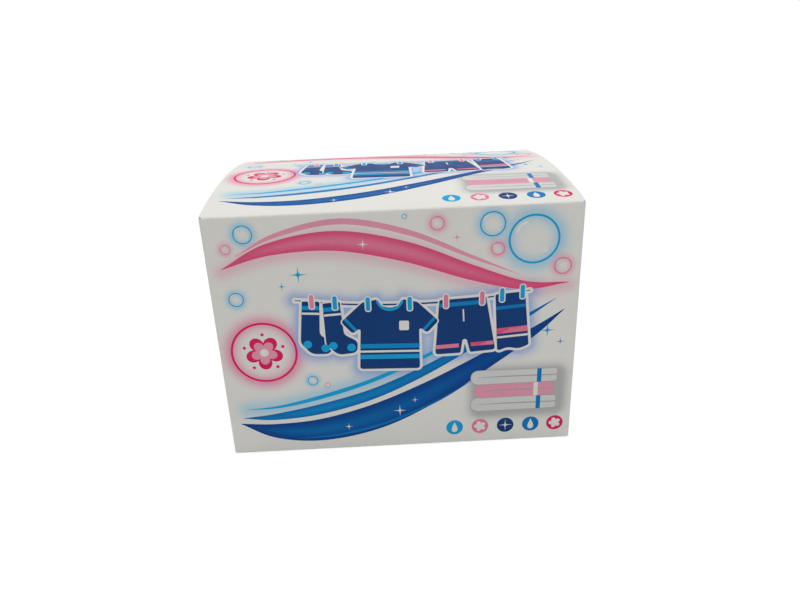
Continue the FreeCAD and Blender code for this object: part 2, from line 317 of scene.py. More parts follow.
def distance(points: Array, outline: Array) -> Array:
    """How far points are from an outline's line, on either side of it.

    Args:
        points: The points.
        outline: The outline.

    Returns:
        The distance of each point.
    """
    start = outline[None]
    run = np.roll(outline, -1, axis=0)[None] - start
    length = np.maximum(np.sum(run**2, axis=2), 1e-12)
    found = np.zeros(len(points))
    for some in np.array_split(np.arange(len(points)), max(1, len(points) * len(outline) // BATCH)):
        here = points[some][:, None] - start
        share = np.clip(np.sum(here * run, axis=2) / length, 0, 1)[..., None]
        found[some] = np.sqrt(np.sum((here - run * share) ** 2, axis=2).min(axis=1))
    return found


def fading(gone: Array, reach: float) -> Array:
    """1 where nothing is gone from a line, falling off softly over about the reach."""
    return np.exp(-((gone / reach) ** 2))


@dataclass(frozen=True)
class Layer:
    """One printed shape: its ink and its outlines, where an outline run clockwise is a hole."""

    ink: Ink
    outlines: tuple[Array, ...]

    def covers(self, points: Array) -> Array:
        """Which of the points the shape covers."""
        return sum(winding(points, outline) for outline in self.outlines) != 0


class Spread(Enum):
    """Where a soft glow goes from its outline."""

    OUTWARDS = "full inside and fading outside"
    BOTH_WAYS = "fading on both sides of the line"
    INWARDS = "fading inside and none outside"


@dataclass(frozen=True)
class SoftGlow:
    """One soft glow: the outline that it follows, how far it reaches and how strong it is."""

    outline: Array
    reach: float
    strength: float
    spread: Spread
    on_line: float = 0.01
    out_of_reach: float = 1e3

    def values(self, points: Array) -> Array:
        """The glow at points.

        Args:
            points: The points, in the design's coordinates.

        Returns:
            The strength at each point.
        """
        gone = distance(points, self.outline)
        if self.spread is not Spread.BOTH_WAYS:
            inside = winding(points, self.outline) != 0
            if self.spread is Spread.OUTWARDS:
                gone[inside] = 0.0
            else:
                gone[~inside & (gone > self.on_line)] = self.out_of_reach
        return self.strength * fading(gone, self.reach)


@dataclass
class Artwork:
    """The print of one panel: a made-up design of washing on a line, bubbles and two waves.

    It is drawn in millimetres from the panel's lower left corner. A glow is given as how far it
    reaches and how strong it is.

    Attributes:
        width: The panel's width.
        outline_width: How wide the white edge of the washing is.
        blue_wave: How broad the blue wave is, of its full breadth.
        socks, shirt, shorts, towel: The middle of each on the line, and its turn in degrees.
        disc: The middle and the radius of the disc with the flower.
        towels: The lowest left corner of the folded towels, their right end and the height of each.
        smallest_soft: The radius from which a bubble has a soft rim and highlights.
        pink_glow, cyan_glow, disc_glow, towel_shade, washing_glow: The glows of these shapes.
        layers: The shapes, from the lowest to the topmost.
        glows: The soft glows of each kind.
        guides: Lines of further points, for smooth glows.
    """

    width: float = 125.0
    outline_width: float = 0.95
    blue_wave: float = 1.0
    socks: tuple[Triple, Triple] = ((32.6, 50.8, -4.0), (40.6, 50.0, 3.0))
    shirt: Triple = (59.6, 46.2, -2.0)
    shorts: Triple = (85.4, 47.8, 2.5)
    towel: Triple = (101.9, 49.4, 4.0)
    disc: Triple = (15.6, 41.6, 11.6)
    towels: tuple[float, float, float, float] = (88.0, 13.4, 119.0, 5.6)
    smallest_soft: float = 1.5
    pink_glow: Pair = (2.4, 0.5)
    cyan_glow: Pair = (3.2, 0.6)
    disc_glow: Pair = (2.6, 1.0)
    towel_shade: Pair = (2.6, 0.75)
    washing_glow: Pair = (3.0, 1.0)
    layers: list[Layer] = field(default_factory=list)
    glows: dict[Glow, list[SoftGlow]] = field(default_factory=dict)
    guides: list[Array] = field(default_factory=list)

    def add(self, ink: Ink, *outlines: Array) -> None:
        """Lays a shape over what is drawn so far."""
        self.layers.append(Layer(ink, outlines))

    def ring(self, ink: Ink, x: float, y: float, radius: float, thickness: float) -> None:
        """Lays a ring whose outside has the radius."""
        self.add(ink, circle(x, y, radius), circle(x, y, radius - thickness)[::-1])

    def glow(
        self, kind: Glow, line: Array, glow: Pair, spread: Spread = Spread.OUTWARDS
    ) -> None:
        """Puts a soft glow along an outline, with how far it reaches and how strong it is."""
        self.glows.setdefault(kind, []).append(SoftGlow(line, *glow, spread))

    def band(self, ink: Ink, points: Points, reach: float, breadth: float = 1.0) -> None:
        """Lays a ribbon that darkens towards its rims.

        Args:
            ink: The ribbon's ink.
            points: The places along the ribbon, each with x, y and its width there.
            reach: How far the darker rims reach into it.
            breadth: What the widths and the rims are scaled by.
        """
        outline = ribbon(np.asarray(points) * (1, 1, breadth))
        self.add(ink, outline)
        self.glow(Glow.RIM, outline, (reach * breadth, 1.0), Spread.INWARDS)

    def guide_rings(self, x: float, y: float, radius: float, step: float) -> None:
        """Adds rings of fill points inside a circle, so that its glow comes out smooth."""
        sizes = np.arange(1, math.ceil((radius - 0.4) / step))
        self.guides.extend(circle(x, y, radius - step * size)[::2] for size in sizes)

    def draw(self) -> Artwork:
        """Draws the whole design, from what lies lowest to what lies on top.

        Returns:
            This artwork.
        """
        self.draw_pink_wave()
        self.draw_blue_wave()
        self.draw_bubbles()
        self.draw_disc()
        self.draw_towels()
        self.draw_washing()
        self.draw_marks()
        return self

    def draw_pink_wave(self) -> None:
        """The wave that falls from the upper left to the right."""
        course = [(5, 73.0, 0.2), (21, 79.2, 4.2), (43, 81.2, 6.8), (66, 76.4, 7.0)]
        course += [(88, 68.0, 5.4), (106, 62.6, 3.0), (121, 63, 0.2)]
        crest = [(10, 77.3, 0.1), (24, 84.0, 1.5), (45, 87.7, 2.0), (67, 83.0, 1.9)]
        crest += [(88, 73.6, 1.2), (104, 66.6, 0.1)]
        self.glow(Glow.PINK, placed(ribbon(course), 0, -1.0), self.pink_glow)
        self.band(Ink.PINK, course, reach=2.6)
        self.add(Ink.ROSE, ribbon(crest))

    def draw_blue_wave(self) -> None:
        """The wave that rises from the lower left to the right, a streak in it where it is broad."""
        crest = [(7, 18.8, 0.1), (19, 19.5, 1.0), (35, 23.0, 1.6), (53, 28.7, 1.6)]
        crest += [(71, 36.9, 1.4), (89, 46.3, 0.9), (103, 53.4, 0.1)]
        low = [(4, 13, 0.2), (17, 9.2, 6.2), (34, 8.9, 9.4), (54, 13.6, 10.6)]
        low += [(74, 22.8, 9.2), (94, 34.9, 6.2), (110, 45.1, 3.1), (120, 53, 0.2)]
        high = [(5, 15.3, 0.1), (17, 15.3, 2.6), (34, 17.8, 4.2), (53, 23.1, 4.2)]
        high += [(72, 31.8, 3.6), (91, 42.5, 2.6), (106, 50.4, 1.6), (117, 57.3, 0.1)]
        streak = [(24, 5.4, 0.1), (40, 6.4, 0.9), (58, 10.8, 1.1), (76, 18.9, 0.8), (90, 27.6, 0.1)]
        self.glow(Glow.CYAN, ribbon(crest), self.cyan_glow)
        self.band(Ink.OCEAN, low, 3.4, self.blue_wave)
        self.band(Ink.AZURE, high, 1.5, self.blue_wave)
        self.add(Ink.CYAN, ribbon(crest))
        if self.blue_wave == 1.0:
            self.add(Ink.AZURE, ribbon(streak))

    def draw_bubbles(self) -> None:
        """Soap bubbles, each with a ring, and a soft rim and two highlights on all but the least."""
        bubbles = [(108.6, 78.8, 8.6, Ink.CYAN), (94.8, 84.6, 4.3, Ink.CYAN), (118.6, 69.0, 3.0, Ink.PINK)]
        bubbles += [(96.6, 76.0, 2.3, Ink.PINK), (8.5, 62.0, 2.6, Ink.CYAN), (13.4, 84.6, 3.2, Ink.CYAN)]
        bubbles += [(7.2, 79.8, 1.7, Ink.PINK), (66, 88.4, 0.9, Ink.CYAN), (31.5, 29.6, 1.9, Ink.CYAN)]
        bubbles += [(36.6, 27.4, 1.2, Ink.PINK), (76.6, 85.6, 2.4, Ink.PINK)]
        shine = [(-0.36, 0.02), (0.0, 0.12), (0.36, 0.02), (0.26, 0.18), (0.0, 0.27), (-0.26, 0.18)]
        for x, y, radius, ink in bubbles:
            self.ring(ink, x, y, radius, 0.2 + 0.06 * radius)
            if radius < self.smallest_soft:
                continue
            glow = Glow.CYAN if ink is Ink.CYAN else Glow.PINK
            self.glow(glow, circle(x, y, radius), (0.28 * radius + 0.5, 0.65), Spread.BOTH_WAYS)
            self.guide_rings(x, y, radius, 0.7)
            high = rounded(np.array(shine) * radius, 0.1 * radius)
            low = circle(x + 0.44 * radius, y - 0.44 * radius, 0.12 * radius)
            self.add(Ink.BOARD_BARE, placed(high, x - 0.42 * radius, y + 0.42 * radius, 45))
            self.add(Ink.BOARD_BARE, low)

    def draw_disc(self) -> None:
        """The round mark with a flower, at the left."""
        x, y, radius = self.disc
        self.add(Ink.BOARD, circle(x, y, radius))
        self.glow(Glow.PINK, circle(x, y, radius), self.disc_glow, Spread.BOTH_WAYS)
        self.guide_rings(x, y, radius, 0.9)
        self.ring(Ink.CRIMSON, x, y, radius, 0.8)
        turn = 18
        self.add(Ink.CRIMSON, placed(blossom(0, 0, 6.6), x, y, turn))
        self.add(Ink.ROSE, placed(blossom(0, 0, 4.6), x, y, turn))
        self.add(Ink.BOARD_BARE, circle(x, y, 1.5))
        for dot in range(5):
            angle = math.radians(turn + 72 * dot)
            self.add(Ink.CRIMSON, circle(x + 7.0 * math.cos(angle), y + 7.0 * math.sin(angle), 0.6))

    def draw_towels(self) -> None:
        """A stack of folded towels, at the lower right."""
        left, low, right, tall = self.towels
        inks = (Ink.PALE_GREY, Ink.ROSE, Ink.PALE_GREY)
        top = low + len(inks) * tall
        stack = rounded([(left, low), (right, low), (right, top), (left, top)], 2)
        self.glow(Glow.SHADE, placed(stack, 1.4, -0.8), self.towel_shade)
        for index, ink in enumerate(inks):
            y = low + index * tall
            shift = 1.1 * (index % 2)
            near = left + shift
            far = right - shift
            slab = rounded(
                [(near, y), (far, y + 0.2), (far, y + tall - 0.2), (near, y + tall)], [2.6, 0.8, 0.8, 2.6]
            )
            fold = [(near + 2.2, y + 0.5 * tall, 0.1), (left + 12, y + 0.52 * tall, 0.45)]
            fold += [(far - 4, y + 0.5 * tall, 0.5), (far, y + 0.5 * tall, 0.4)]
            stripe = far - 7.2
            end = stripe + 1.6
            self.add(Ink.GREY, grown(slab, 0.22))
            self.add(ink, slab)
            self.add(Ink.GREY, ribbon(fold))
            self.add(
                Ink.AZURE if ink is Ink.PALE_GREY else Ink.BOARD_BARE,
                rounded([(stripe, y), (end, y), (end, y + tall), (stripe, y + tall)], 0),
            )

    def draw_washing(self) -> None:
        """The washing on its line, in the middle of the panel."""
        line = ribbon(
            [(28, 60.8, 0.3), (46, 58.5, 0.55), (67, 57.6, 0.6), (88, 58.2, 0.55), (108, 60.6, 0.3)]
        )
        neck = [(-2.7, 11.0), (0, 10.2), (2.7, 11.0)]
        half = [(4.6, 13.4), (9.4, 12.4), (16.8, 5.2), (12.9, 0.7), (10.1, 3.0), (10.6, -13.2)]
        shirt = rounded(
            neck + half + mirrored(half), [1.5, 3, 1.5, 0.3, 2, 1, 1, 0.6, 1, 1, 0.6, 1, 1, 2, 0.3]
        )
        half = [(8.0, 11.0), (10.6, -9.6), (1.7, -9.8)]
        shorts = rounded([*half, (0, -0.8), *mirrored(half)], [0.7, 1, 0.7, 0.9, 0.7, 1, 0.7])
        sock = rounded(
            [(3.0, 9.4), (3.0, -3.0), (7.4, -6.0), (6.9, -10.4), (0.2, -10.6), (-3.6, -6.4), (-2.9, 9.4)],
            [0.5, 2.4, 2.2, 2.2, 3.4, 3.0, 0.5],
        )
        towel = rounded(
            [(-5.1, 10.6), (5.1, 10.6), (5.6, -9.8), (1.9, -11.2), (-1.9, -9.8), (-5.6, -11.2)],
            [0.6, 0.6, 0.8, 5, 5, 0.8],
        )
        shapes = [line, *(placed(sock, *place) for place in self.socks), placed(towel, *self.towel)]
        shapes += [placed(shorts, *self.shorts), placed(shirt, *self.shirt)]
        for outline in shapes:
            self.glow(Glow.LILAC, outline, self.washing_glow)
            self.add(Ink.BOARD_BARE, grown(outline, self.outline_width))
        for outline in shapes:
            self.add(Ink.BOARD_BARE, grown(outline, 0.5 * self.outline_width))
            self.add(Ink.NAVY, outline)
        self.draw_washing_details()
        self.draw_pegs()

    def draw_washing_details(self) -> None:
        """Stripes, patches and seams on the washing."""
        collar = ribbon(
            [(-4.4, 12.9, 0.9), (-2.7, 10.5, 0.9), (0, 9.6, 0.9), (2.7, 10.5, 0.9), (4.4, 12.9, 0.9)]
        )
        cuff = np.array(((15.9, 5.99), (12.0, 1.45), (11.2, 2.1), (15.1, 6.8)))
        on_sock = [(Ink.AZURE, bar(0, 7.0, 5.9, 1.5)), (Ink.BOARD_BARE, bar(0, 4.9, 5.9, 0.8))]
        on_sock += [(Ink.CYAN, circle(5.0, -8.2, 1.5)), (Ink.CYAN, circle(-1.2, -6.9, 1.5))]
        on_shirt = [(Ink.CYAN, collar), (Ink.AZURE, cuff), (Ink.AZURE, (cuff * (-1, 1))[::-1])]
        on_shirt += [(Ink.AZURE, bar(0, -4.2, 20.8, 1.7)), (Ink.BOARD_BARE, bar(0, -6.3, 20.9, 0.8))]
        on_shirt += [(Ink.CYAN, bar(0, -8.4, 21.0, 1.7))]
        on_shirt += [(Ink.BOARD_BARE, rounded(bar(4.9, 3.6, 3.4, 3.6), 0.5))]
        on_shorts = [(Ink.AZURE, bar(0, 9.0, 16.2, 1.5)), (Ink.BOARD_BARE, bar(0, 4.6, 0.5, 4.6))]
        on_shorts += [(Ink.PINK, bar(side * 6.1, -6.8, 8.0, 1.5)) for side in (1, -1)]
        on_towel = [(Ink.PINK, bar(0, -3.4, 10.7, 2.2)), (Ink.BOARD_BARE, bar(0, -5.8, 10.8, 0.8))]
        on_towel += [(Ink.AZURE, bar(0, 5.4, 10.3, 1.2))]
        details = [(place, on_sock) for place in self.socks]
        details += [(self.shirt, on_shirt), (self.shorts, on_shorts), (self.towel, on_towel)]
        for place, shapes in details:
            for ink, outline in shapes:
                self.add(ink, placed(outline, *place))

    def draw_pegs(self) -> None:
        """The pegs that hold the washing on its line."""
        pegs = [(33.6, 60.0, Ink.PINK), (41.4, 59.2, Ink.CYAN), (52.6, 58.2, Ink.CYAN)]
        pegs += [(66.8, 57.7, Ink.CYAN), (79.2, 57.9, Ink.PINK), (91.6, 58.5, Ink.PINK)]
        pegs += [(98.4, 59.3, Ink.CYAN), (105.4, 60.2, Ink.CYAN)]
        for x, y, ink in pegs:
            peg = rounded(bar(x, y, 1.5, 5.0), 0.6)
            self.add(Ink.BOARD_BARE, grown(peg, 0.4))
            self.add(ink, peg)

    def draw_marks(self) -> None:
        """The row of small round marks along the bottom, and the sparkles."""
        level = 6.9
        radius = 3.1
        marks = (
            (82.0, Ink.CYAN, drop(0, 0.1, 4.4)),
            (91.4, Ink.PINK, blossom(0, 0, 2.2)),
            (100.8, Ink.NAVY, star(0, 0, 2.5)),
            (110.2, Ink.AZURE, drop(0, 0.1, 4.4)),
            (119.2, Ink.CRIMSON, blossom(0, 0, 2.2)),
        )
        for x, ink, sign in marks:
            self.add(ink, circle(x, level, radius))
            self.add(Ink.BOARD_BARE, placed(sign, x, level))
        sparkles = {
            Ink.CYAN: ((30.0, 70.0, 3.2), (24.2, 66.0, 1.7), (114.6, 45.2, 3.0)),
            Ink.AZURE: ((119.4, 40.6, 1.6),),
            Ink.BOARD_BARE: ((62.0, 15.4, 2.4), (43.0, 9.6, 1.6), (67.6, 19.6, 1.3), (52.0, 79.6, 2.0)),
            Ink.ROSE: ((83.0, 80.6, 1.8),),
        }
        for ink, places in sparkles.items():
            for place in places:
                self.add(ink, star(*place))


# Folding


@dataclass
class FoldLine:
    """A line of straight runs and round folds, drawn as a pen would walk it.

    The board lies on the line's right-hand side, and every fold turns to the right.
    """

    x: float
    y: float
    heading: float
    length: float = 0.0
    pieces: list[tuple[float, Array, float, float, float]] = field(default_factory=list)

    def run(self, length: float) -> FoldLine:
        """Adds a straight run.

        Args:
            length: How long it is.

        Returns:
            This line.
        """
        self.pieces.append((self.length, np.array((self.x, self.y)), self.heading, 0.0, length))
        self.x += length * math.cos(self.heading)
        self.y += length * math.sin(self.heading)
        self.length += length
        return self

    def fold(self, radius: float, turn: float) -> FoldLine:
        """Adds a round fold.

        Args:
            radius: Its outside radius.
            turn: The angle through which it turns, in radians.

        Returns:
            This line.
        """
        start = np.array((self.x, self.y))
        self.pieces.append((self.length, start, self.heading, radius, radius * turn))
        centre_x = self.x + radius * math.sin(self.heading)
        centre_y = self.y - radius * math.cos(self.heading)
        self.heading -= turn
        self.x = centre_x - radius * math.sin(self.heading)
        self.y = centre_y + radius * math.cos(self.heading)
        self.length += radius * turn
        return self

    def place(self, along: Array) -> tuple[Array, Array]:
        """Where the line runs.

        Args:
            along: Distances from the line's start.

        Returns:
            The places, and the unit vectors that point into the board.
        """
        places = np.zeros((len(along), 2))
        inwards = np.zeros((len(along), 2))
        for begin, start, heading, radius, _ in self.pieces:
            here = along >= begin - 1e-9 if begin > 0 else np.ones(len(along), bool)
            gone = along[here] - begin
            if radius == 0:
                ahead = np.array((math.cos(heading), math.sin(heading)))
                places[here] = start + gone[:, None] * ahead
                inwards[here] = (math.sin(heading), -math.cos(heading))
                continue
            turned = heading - gone / radius
            centre = start + radius * np.array((math.sin(heading), -math.cos(heading)))
            inward = np.stack((np.sin(turned), -np.cos(turned)), axis=1)
            places[here] = centre - radius * inward
            inwards[here] = inward
        return places, inwards

    def creases(self) -> list[float]:
        """Where the board is scored so that its folds come out round.

        Returns:
            The distances from the line's start.
        """
        found = []
        for begin, _, _, radius, length in self.pieces:
            if radius > 0:
                step = FOLD_STEP if radius < WIDEST_FOLD else BOW_STEP
                count = max(1, math.ceil(length / radius / step))
                found.extend(begin + length * np.arange(count + 1) / count)
        return sorted(set(np.round(found, 4).tolist()))


@dataclass(frozen=True)
class Island:
    """Where a part of a flat blank lies in the piece's texture.

    Attributes:
        scale: Texture widths per millimetre.
        corner: Where the flat point below lies in the texture.
        start: A flat point, the island's lower left.
        turned: Whether the island is turned by a quarter.
    """

    scale: float
    corner: Pair
    start: Pair
    turned: bool = False

    def place(self, flat: Array) -> Array:
        """The texture coordinates of flat points."""
        found = (flat - self.start) * self.scale
        return (found[:, ::-1] if self.turned else found) + self.corner


@dataclass(frozen=True)
class Layout:
    """How a blank's faces share its texture: the printed ones large, the plain ones small.

    Attributes:
        printed: Where the printed faces go.
        window: The lowest and highest flat point of the printed faces.
        plain: Where the outside's other faces go.
        inside: Where the inside and the cut edges go.
    """

    printed: Island
    window: tuple[Pair, Pair]
    plain: Island
    inside: Island

    def place(self, flat: Array, middles: Array, outside: Array) -> Array:
        """Texture coordinates of the corners of faces.

        Args:
            flat: Each corner's flat point.
            middles: For each corner, its face's middle.
            outside: For each corner, whether its face is on the board's outside.

        Returns:
            Each corner's texture coordinates.
        """
        low, high = self.window
        printed = outside & np.all((middles > low) & (middles < high), axis=1)
        found = self.inside.place(flat)
        found[outside] = self.plain.place(flat[outside])
        found[printed] = self.printed.place(flat[printed])
        return found


def closed_cut(
    outlines: Sequence[Array], lines: Points, fill: Array, tolerance: float
) -> tuple[Array, Array]:
    """Cuts the plane into triangles that follow closed outlines and open lines.

    Args:
        outlines: The closed outlines.
        lines: The straight lines, each a start and an end.
        fill: Further points.
        tolerance: Points that are nearer than this are one.

    Returns:
        The points and the triangles.
    """
    edges: list[tuple[int, int]] = []
    count = 0
    for outline in outlines:
        size = len(outline)
        edges.extend((count + i, count + (i + 1) % size) for i in range(size))
        count += size
    edges.extend((index, index + 1) for index in range(count, count + 2 * len(lines), 2))
    points = np.vstack([*outlines, *(np.array(line) for line in lines), fill])
    flat = [Vector(point) for point in points]
    found, _, faces, _, _, _ = delaunay_2d_cdt(flat, edges, [], 0, tolerance, False)
    triangles = [face for face in faces if len(face) == 3]
    return np.array([tuple(point) for point in found]), np.array(triangles)


def linked(name: str, data: ID) -> Object:
    """A new object in the scene that shows a mesh, a lamp or a camera.

    Args:
        name: The object's name.
        data: What it shows.

    Returns:
        The object.
    """
    found = bpy.data.objects.new(name, data)
    bpy.context.scene.collection.objects.link(found)
    return found


def smoothed(mesh: Mesh) -> Mesh:
    """The mesh, its faces set to be shaded smooth."""
    mesh.polygons.foreach_set("use_smooth", np.ones(len(mesh.polygons), bool))
    return mesh


@dataclass(frozen=True)
class Blank:
    """A flat piece of board, cut, scored and printed, that is folded into a mesh.

    Attributes:
        board: What gives the cut edge, the scores, the print, the folds and the texture.
    """

    board: CartonBoard | LidBoard

    def cut(self) -> tuple[Array, Array]:
        """Cuts the blank into triangles that follow its outline, scores and print.

        Returns:
            The flat points and the triangles, with no point that no triangle uses.
        """
        art = self.board.art
        outlines = [self.board.outline()]
        for layer in art.layers:
            outlines.extend(self.board.flat_of(outline) for outline in layer.outlines)
        fill = np.vstack((self.board.filled(), *(self.board.flat_of(guide) for guide in art.guides)))
        flat, triangles = closed_cut(outlines, self.board.scores(), fill, 1e-5)
        inside = winding(flat[triangles].mean(axis=1), outlines[0]) != 0
        used, places = np.unique(triangles[inside], return_inverse=True)
        return flat[used], places.reshape(-1, 3)

    def inked(self, middles: Array) -> Array:
        """Which ink shows at flat points.

        Args:
            middles: The flat points.

        Returns:
            The number of each point's ink.
        """
        inks = list(Ink)
        drawn = self.board.design_of(middles)
        found = np.zeros(len(middles), int)
        for layer in self.board.art.layers:
            found[layer.covers(drawn)] = inks.index(layer.ink)
        return found

    def fold(self, name: str, materials: list[Material]) -> Object:
        """Makes the folded board.

        Args:
            name: The new object's name.
            materials: The inks in their order, then the board's inside and its cut edge.

        Returns:
            The object, in the scene.
        """
        flat, triangles = self.cut()
        outside, inwards = self.board.place(flat)
        inside = outside + inwards * self.board.sizes.board
        count = len(flat)
        corners = outside[triangles]
        normal = np.cross(corners[:, 1] - corners[:, 0], corners[:, 2] - corners[:, 0])
        facing = np.sum(normal * inwards[triangles[:, 0]], axis=1).sum() < 0
        outer = triangles if facing else triangles[:, ::-1]
        halves = np.vstack((outer[:, (0, 1)], outer[:, (1, 2)], outer[:, (2, 0)])).tolist()
        keys = {tuple(edge) for edge in halves}
        rim = [edge for edge in halves if (edge[1], edge[0]) not in keys]
        faces = [tuple(face) for face in outer.tolist()]
        faces += [tuple(face) for face in (outer[:, ::-1] + count).tolist()]
        faces += [(b, a, a + count, b + count) for a, b in rim]
        mesh = bpy.data.meshes.new(name)
        mesh.from_pydata((np.vstack((outside, inside)) * MM).tolist(), [], faces)
        inks = self.inked(flat[triangles].mean(axis=1))
        bare = (np.full(len(outer), len(Ink)), np.full(len(rim), len(Ink) + 1))
        for material in materials:
            mesh.materials.append(material)
        slots = np.concatenate((inks, *bare)).astype(np.int32)
        mesh.polygons.foreach_set("material_index", slots)
        self.mark(mesh, flat)
        mesh.validate()
        mesh.update()
        smoothed(mesh).set_sharp_from_angle(angle=math.radians(40))
        return linked(name, mesh)

    def mark(self, mesh: Mesh, flat: Array) -> None:
        """Writes the glows, the wear, the design's coordinates and the texture's into a mesh.

        Args:
            mesh: The folded mesh, whose outside points come first and its inside points next.
            flat: The flat point of each outside point.
        """
        drawn = self.board.design_of(flat)
        near = np.flatnonzero(np.all(np.abs(drawn) < -NO_PRINT / 10, axis=1))
        values = {kind.value: np.zeros(len(flat)) for kind in Glow}
        for kind, glows in self.board.art.glows.items():
            value = values[kind.value]
            for glow in glows:
                value[near] = np.maximum(value[near], glow.values(drawn[near]))
        for name, value in {**values, "wear": self.board.wear_of(flat)}.items():
            layer = mesh.attributes.new(name, "FLOAT", "POINT")
            layer.data.foreach_set("value", np.tile(value, 2).astype(np.float32))
        corners = np.empty(len(mesh.loops), np.int32)
        mesh.loops.foreach_get("vertex_index", corners)
        sizes = np.empty(len(mesh.polygons), np.int32)
        mesh.polygons.foreach_get("loop_total", sizes)
        slots = np.empty(len(mesh.polygons), np.int32)
        mesh.polygons.foreach_get("material_index", slots)
        places = np.tile(flat, (2, 1))[corners]
        starts = np.concatenate(([0], np.cumsum(sizes)[:-1]))
        middles = np.add.reduceat(places, starts, axis=0) / sizes[:, None]
        outside = np.repeat(slots < len(Ink), sizes)
        spread = self.board.layout().place(places, np.repeat(middles, sizes, axis=0), outside)
        design = np.tile(drawn, (2, 1))[corners] / self.board.art.width
        for name, found in (("design", design), ("OFBake", spread)):
            layer = mesh.uv_layers.new(name=name)
            layer.data.foreach_set("uv", found.astype(np.float32).ravel())


def along_scores(low: float, high: float, scores: Sequence[float], step: float) -> Array:
    """Points along level scores, a step apart, so that what is printed over a fold stays smooth."""
    x, y = np.meshgrid(np.arange(low + step / 2, high, step), np.unique(np.round(scores, 4)))
    return np.stack((x.ravel(), y.ravel()), axis=1)


def filling(low: Sequence[float], high: Sequence[float], step: float) -> Array:
    """Staggered points that fill a rectangle.

    Args:
        low: Its lower left corner.
        high: Its upper right corner.
        step: From one point to the next.

    Returns:
        The points.
    """
    rows = np.arange(low[1] + step / 2, high[1], step * math.sqrt(0.75))
    x, y = np.meshgrid(np.arange(low[0] + step / 2, high[0], step), rows)
    x = x + np.where(np.arange(len(rows)) % 2, step / 4, -step / 4)[:, None]
    return np.stack((x.ravel(), y.ravel()), axis=1)


# Finishes


class Nodes:
    """Builds one material's or one group's nodes."""

    def __init__(self, tree: NodeTree) -> None:
        """Takes the tree to build in and empties it."""
        self.tree = tree
        tree.nodes.clear()

    def add(self, kind: str, **settings: object) -> Node:
        """Adds a node.

        Args:
            kind: What kind of node it is.
            settings: Its properties, or its inputs where no property has the name.

        Returns:
            The node.
        """
        node = self.tree.nodes.new(kind)
        for name, value in settings.items():
            if hasattr(node, name):
                setattr(node, name, value)
            else:
                self.feed(node, {name.replace("_", " "): value})
        return node

    def feed(self, node: Node, values: dict[str | int, object]) -> Node:
        """Sets inputs to values, or links them to sockets.

        Args:
            node: The node.
            values: What each input gets, by its name or its number.

        Returns:
            The node.
        """
        for name, value in values.items():
            socket = node.inputs[name]
            if isinstance(value, NodeSocket):
                self.tree.links.new(value, socket)
            elif isinstance(value, tuple) and len(value) == 3 and socket.type == "RGBA":
                socket.default_value = (*value, 1.0)
            else:
                socket.default_value = value
        return node

    def mix(self, share: object, first: object, second: object) -> NodeSocket:
        """A colour between two colours."""
        node = self.add("ShaderNodeMix", data_type="RGBA")
        return self.feed(node, {0: share, 6: first, 7: second}).outputs[2]

    def maths(self, operation: str, *values: object) -> NodeSocket:
        """The result of one sum."""
        node = self.add("ShaderNodeMath", operation=operation)
        return self.feed(node, dict(enumerate(values))).outputs[0]

    def ranged(self, value: object, start: Pair, end: Pair) -> NodeSocket:
        """The value moved from a range to another and kept inside it."""
        values = dict(enumerate((value, *start, *end)))
        return self.feed(self.add("ShaderNodeMapRange"), values).outputs["Result"]

    def noise(self, where: object, scale: float, detail: float = 3.0) -> NodeSocket:
        """Smooth random values from 0 to 1."""
        node = self.add("ShaderNodeTexNoise")
        return self.feed(node, {"Vector": where, "Scale": scale, "Detail": detail}).outputs["Fac"]

    def varied(self, where: object, scale: float, detail: float, end: Pair) -> NodeSocket:
        """Smooth random values that fill a range."""
        return self.ranged(self.noise(where, scale, detail), (0.3, 0.7), end)

    def bump(self, height: object, strength: float, distance: float, **more: object) -> Node:
        """A bump of a height in metres."""
        return self.feed(
            self.add("ShaderNodeBump", Strength=strength, Distance=distance, **more), {"Height": height}
        )

    def read(self, name: str) -> NodeSocket:
        """A value that the mesh carries at its points."""
        return self.add("ShaderNodeAttribute", attribute_name=name).outputs["Fac"]

    def place(self) -> NodeSocket:
        """The point's place on the object, in metres."""
        return self.add("ShaderNodeTexCoord").outputs["Object"]


def new_group(
    name: str, inputs: dict[str, object], outputs: dict[str, str]
) -> tuple[NodeTree, Nodes, NodeOutputs, Node]:
    """Starts a node group with named sockets.

    Args:
        name: The group's name.
        inputs: The name and default value of each input.
        outputs: The name and kind of each output.

    Returns:
        The group, its builder, the sockets of its inputs and its output node.
    """
    group = bpy.data.node_groups.new(name, "ShaderNodeTree")
    for label, value in inputs.items():
        kind = "NodeSocketColor" if isinstance(value, tuple) else "NodeSocketFloat"
        socket = group.interface.new_socket(name=label, in_out="INPUT", socket_type=kind)
        socket.default_value = (*value, 1.0) if isinstance(value, tuple) else value
    for label, kind in outputs.items():
        group.interface.new_socket(name=label, in_out="OUTPUT", socket_type=kind)
    nodes = Nodes(group)
    return group, nodes, nodes.add("NodeGroupInput").outputs, nodes.add("NodeGroupOutput")


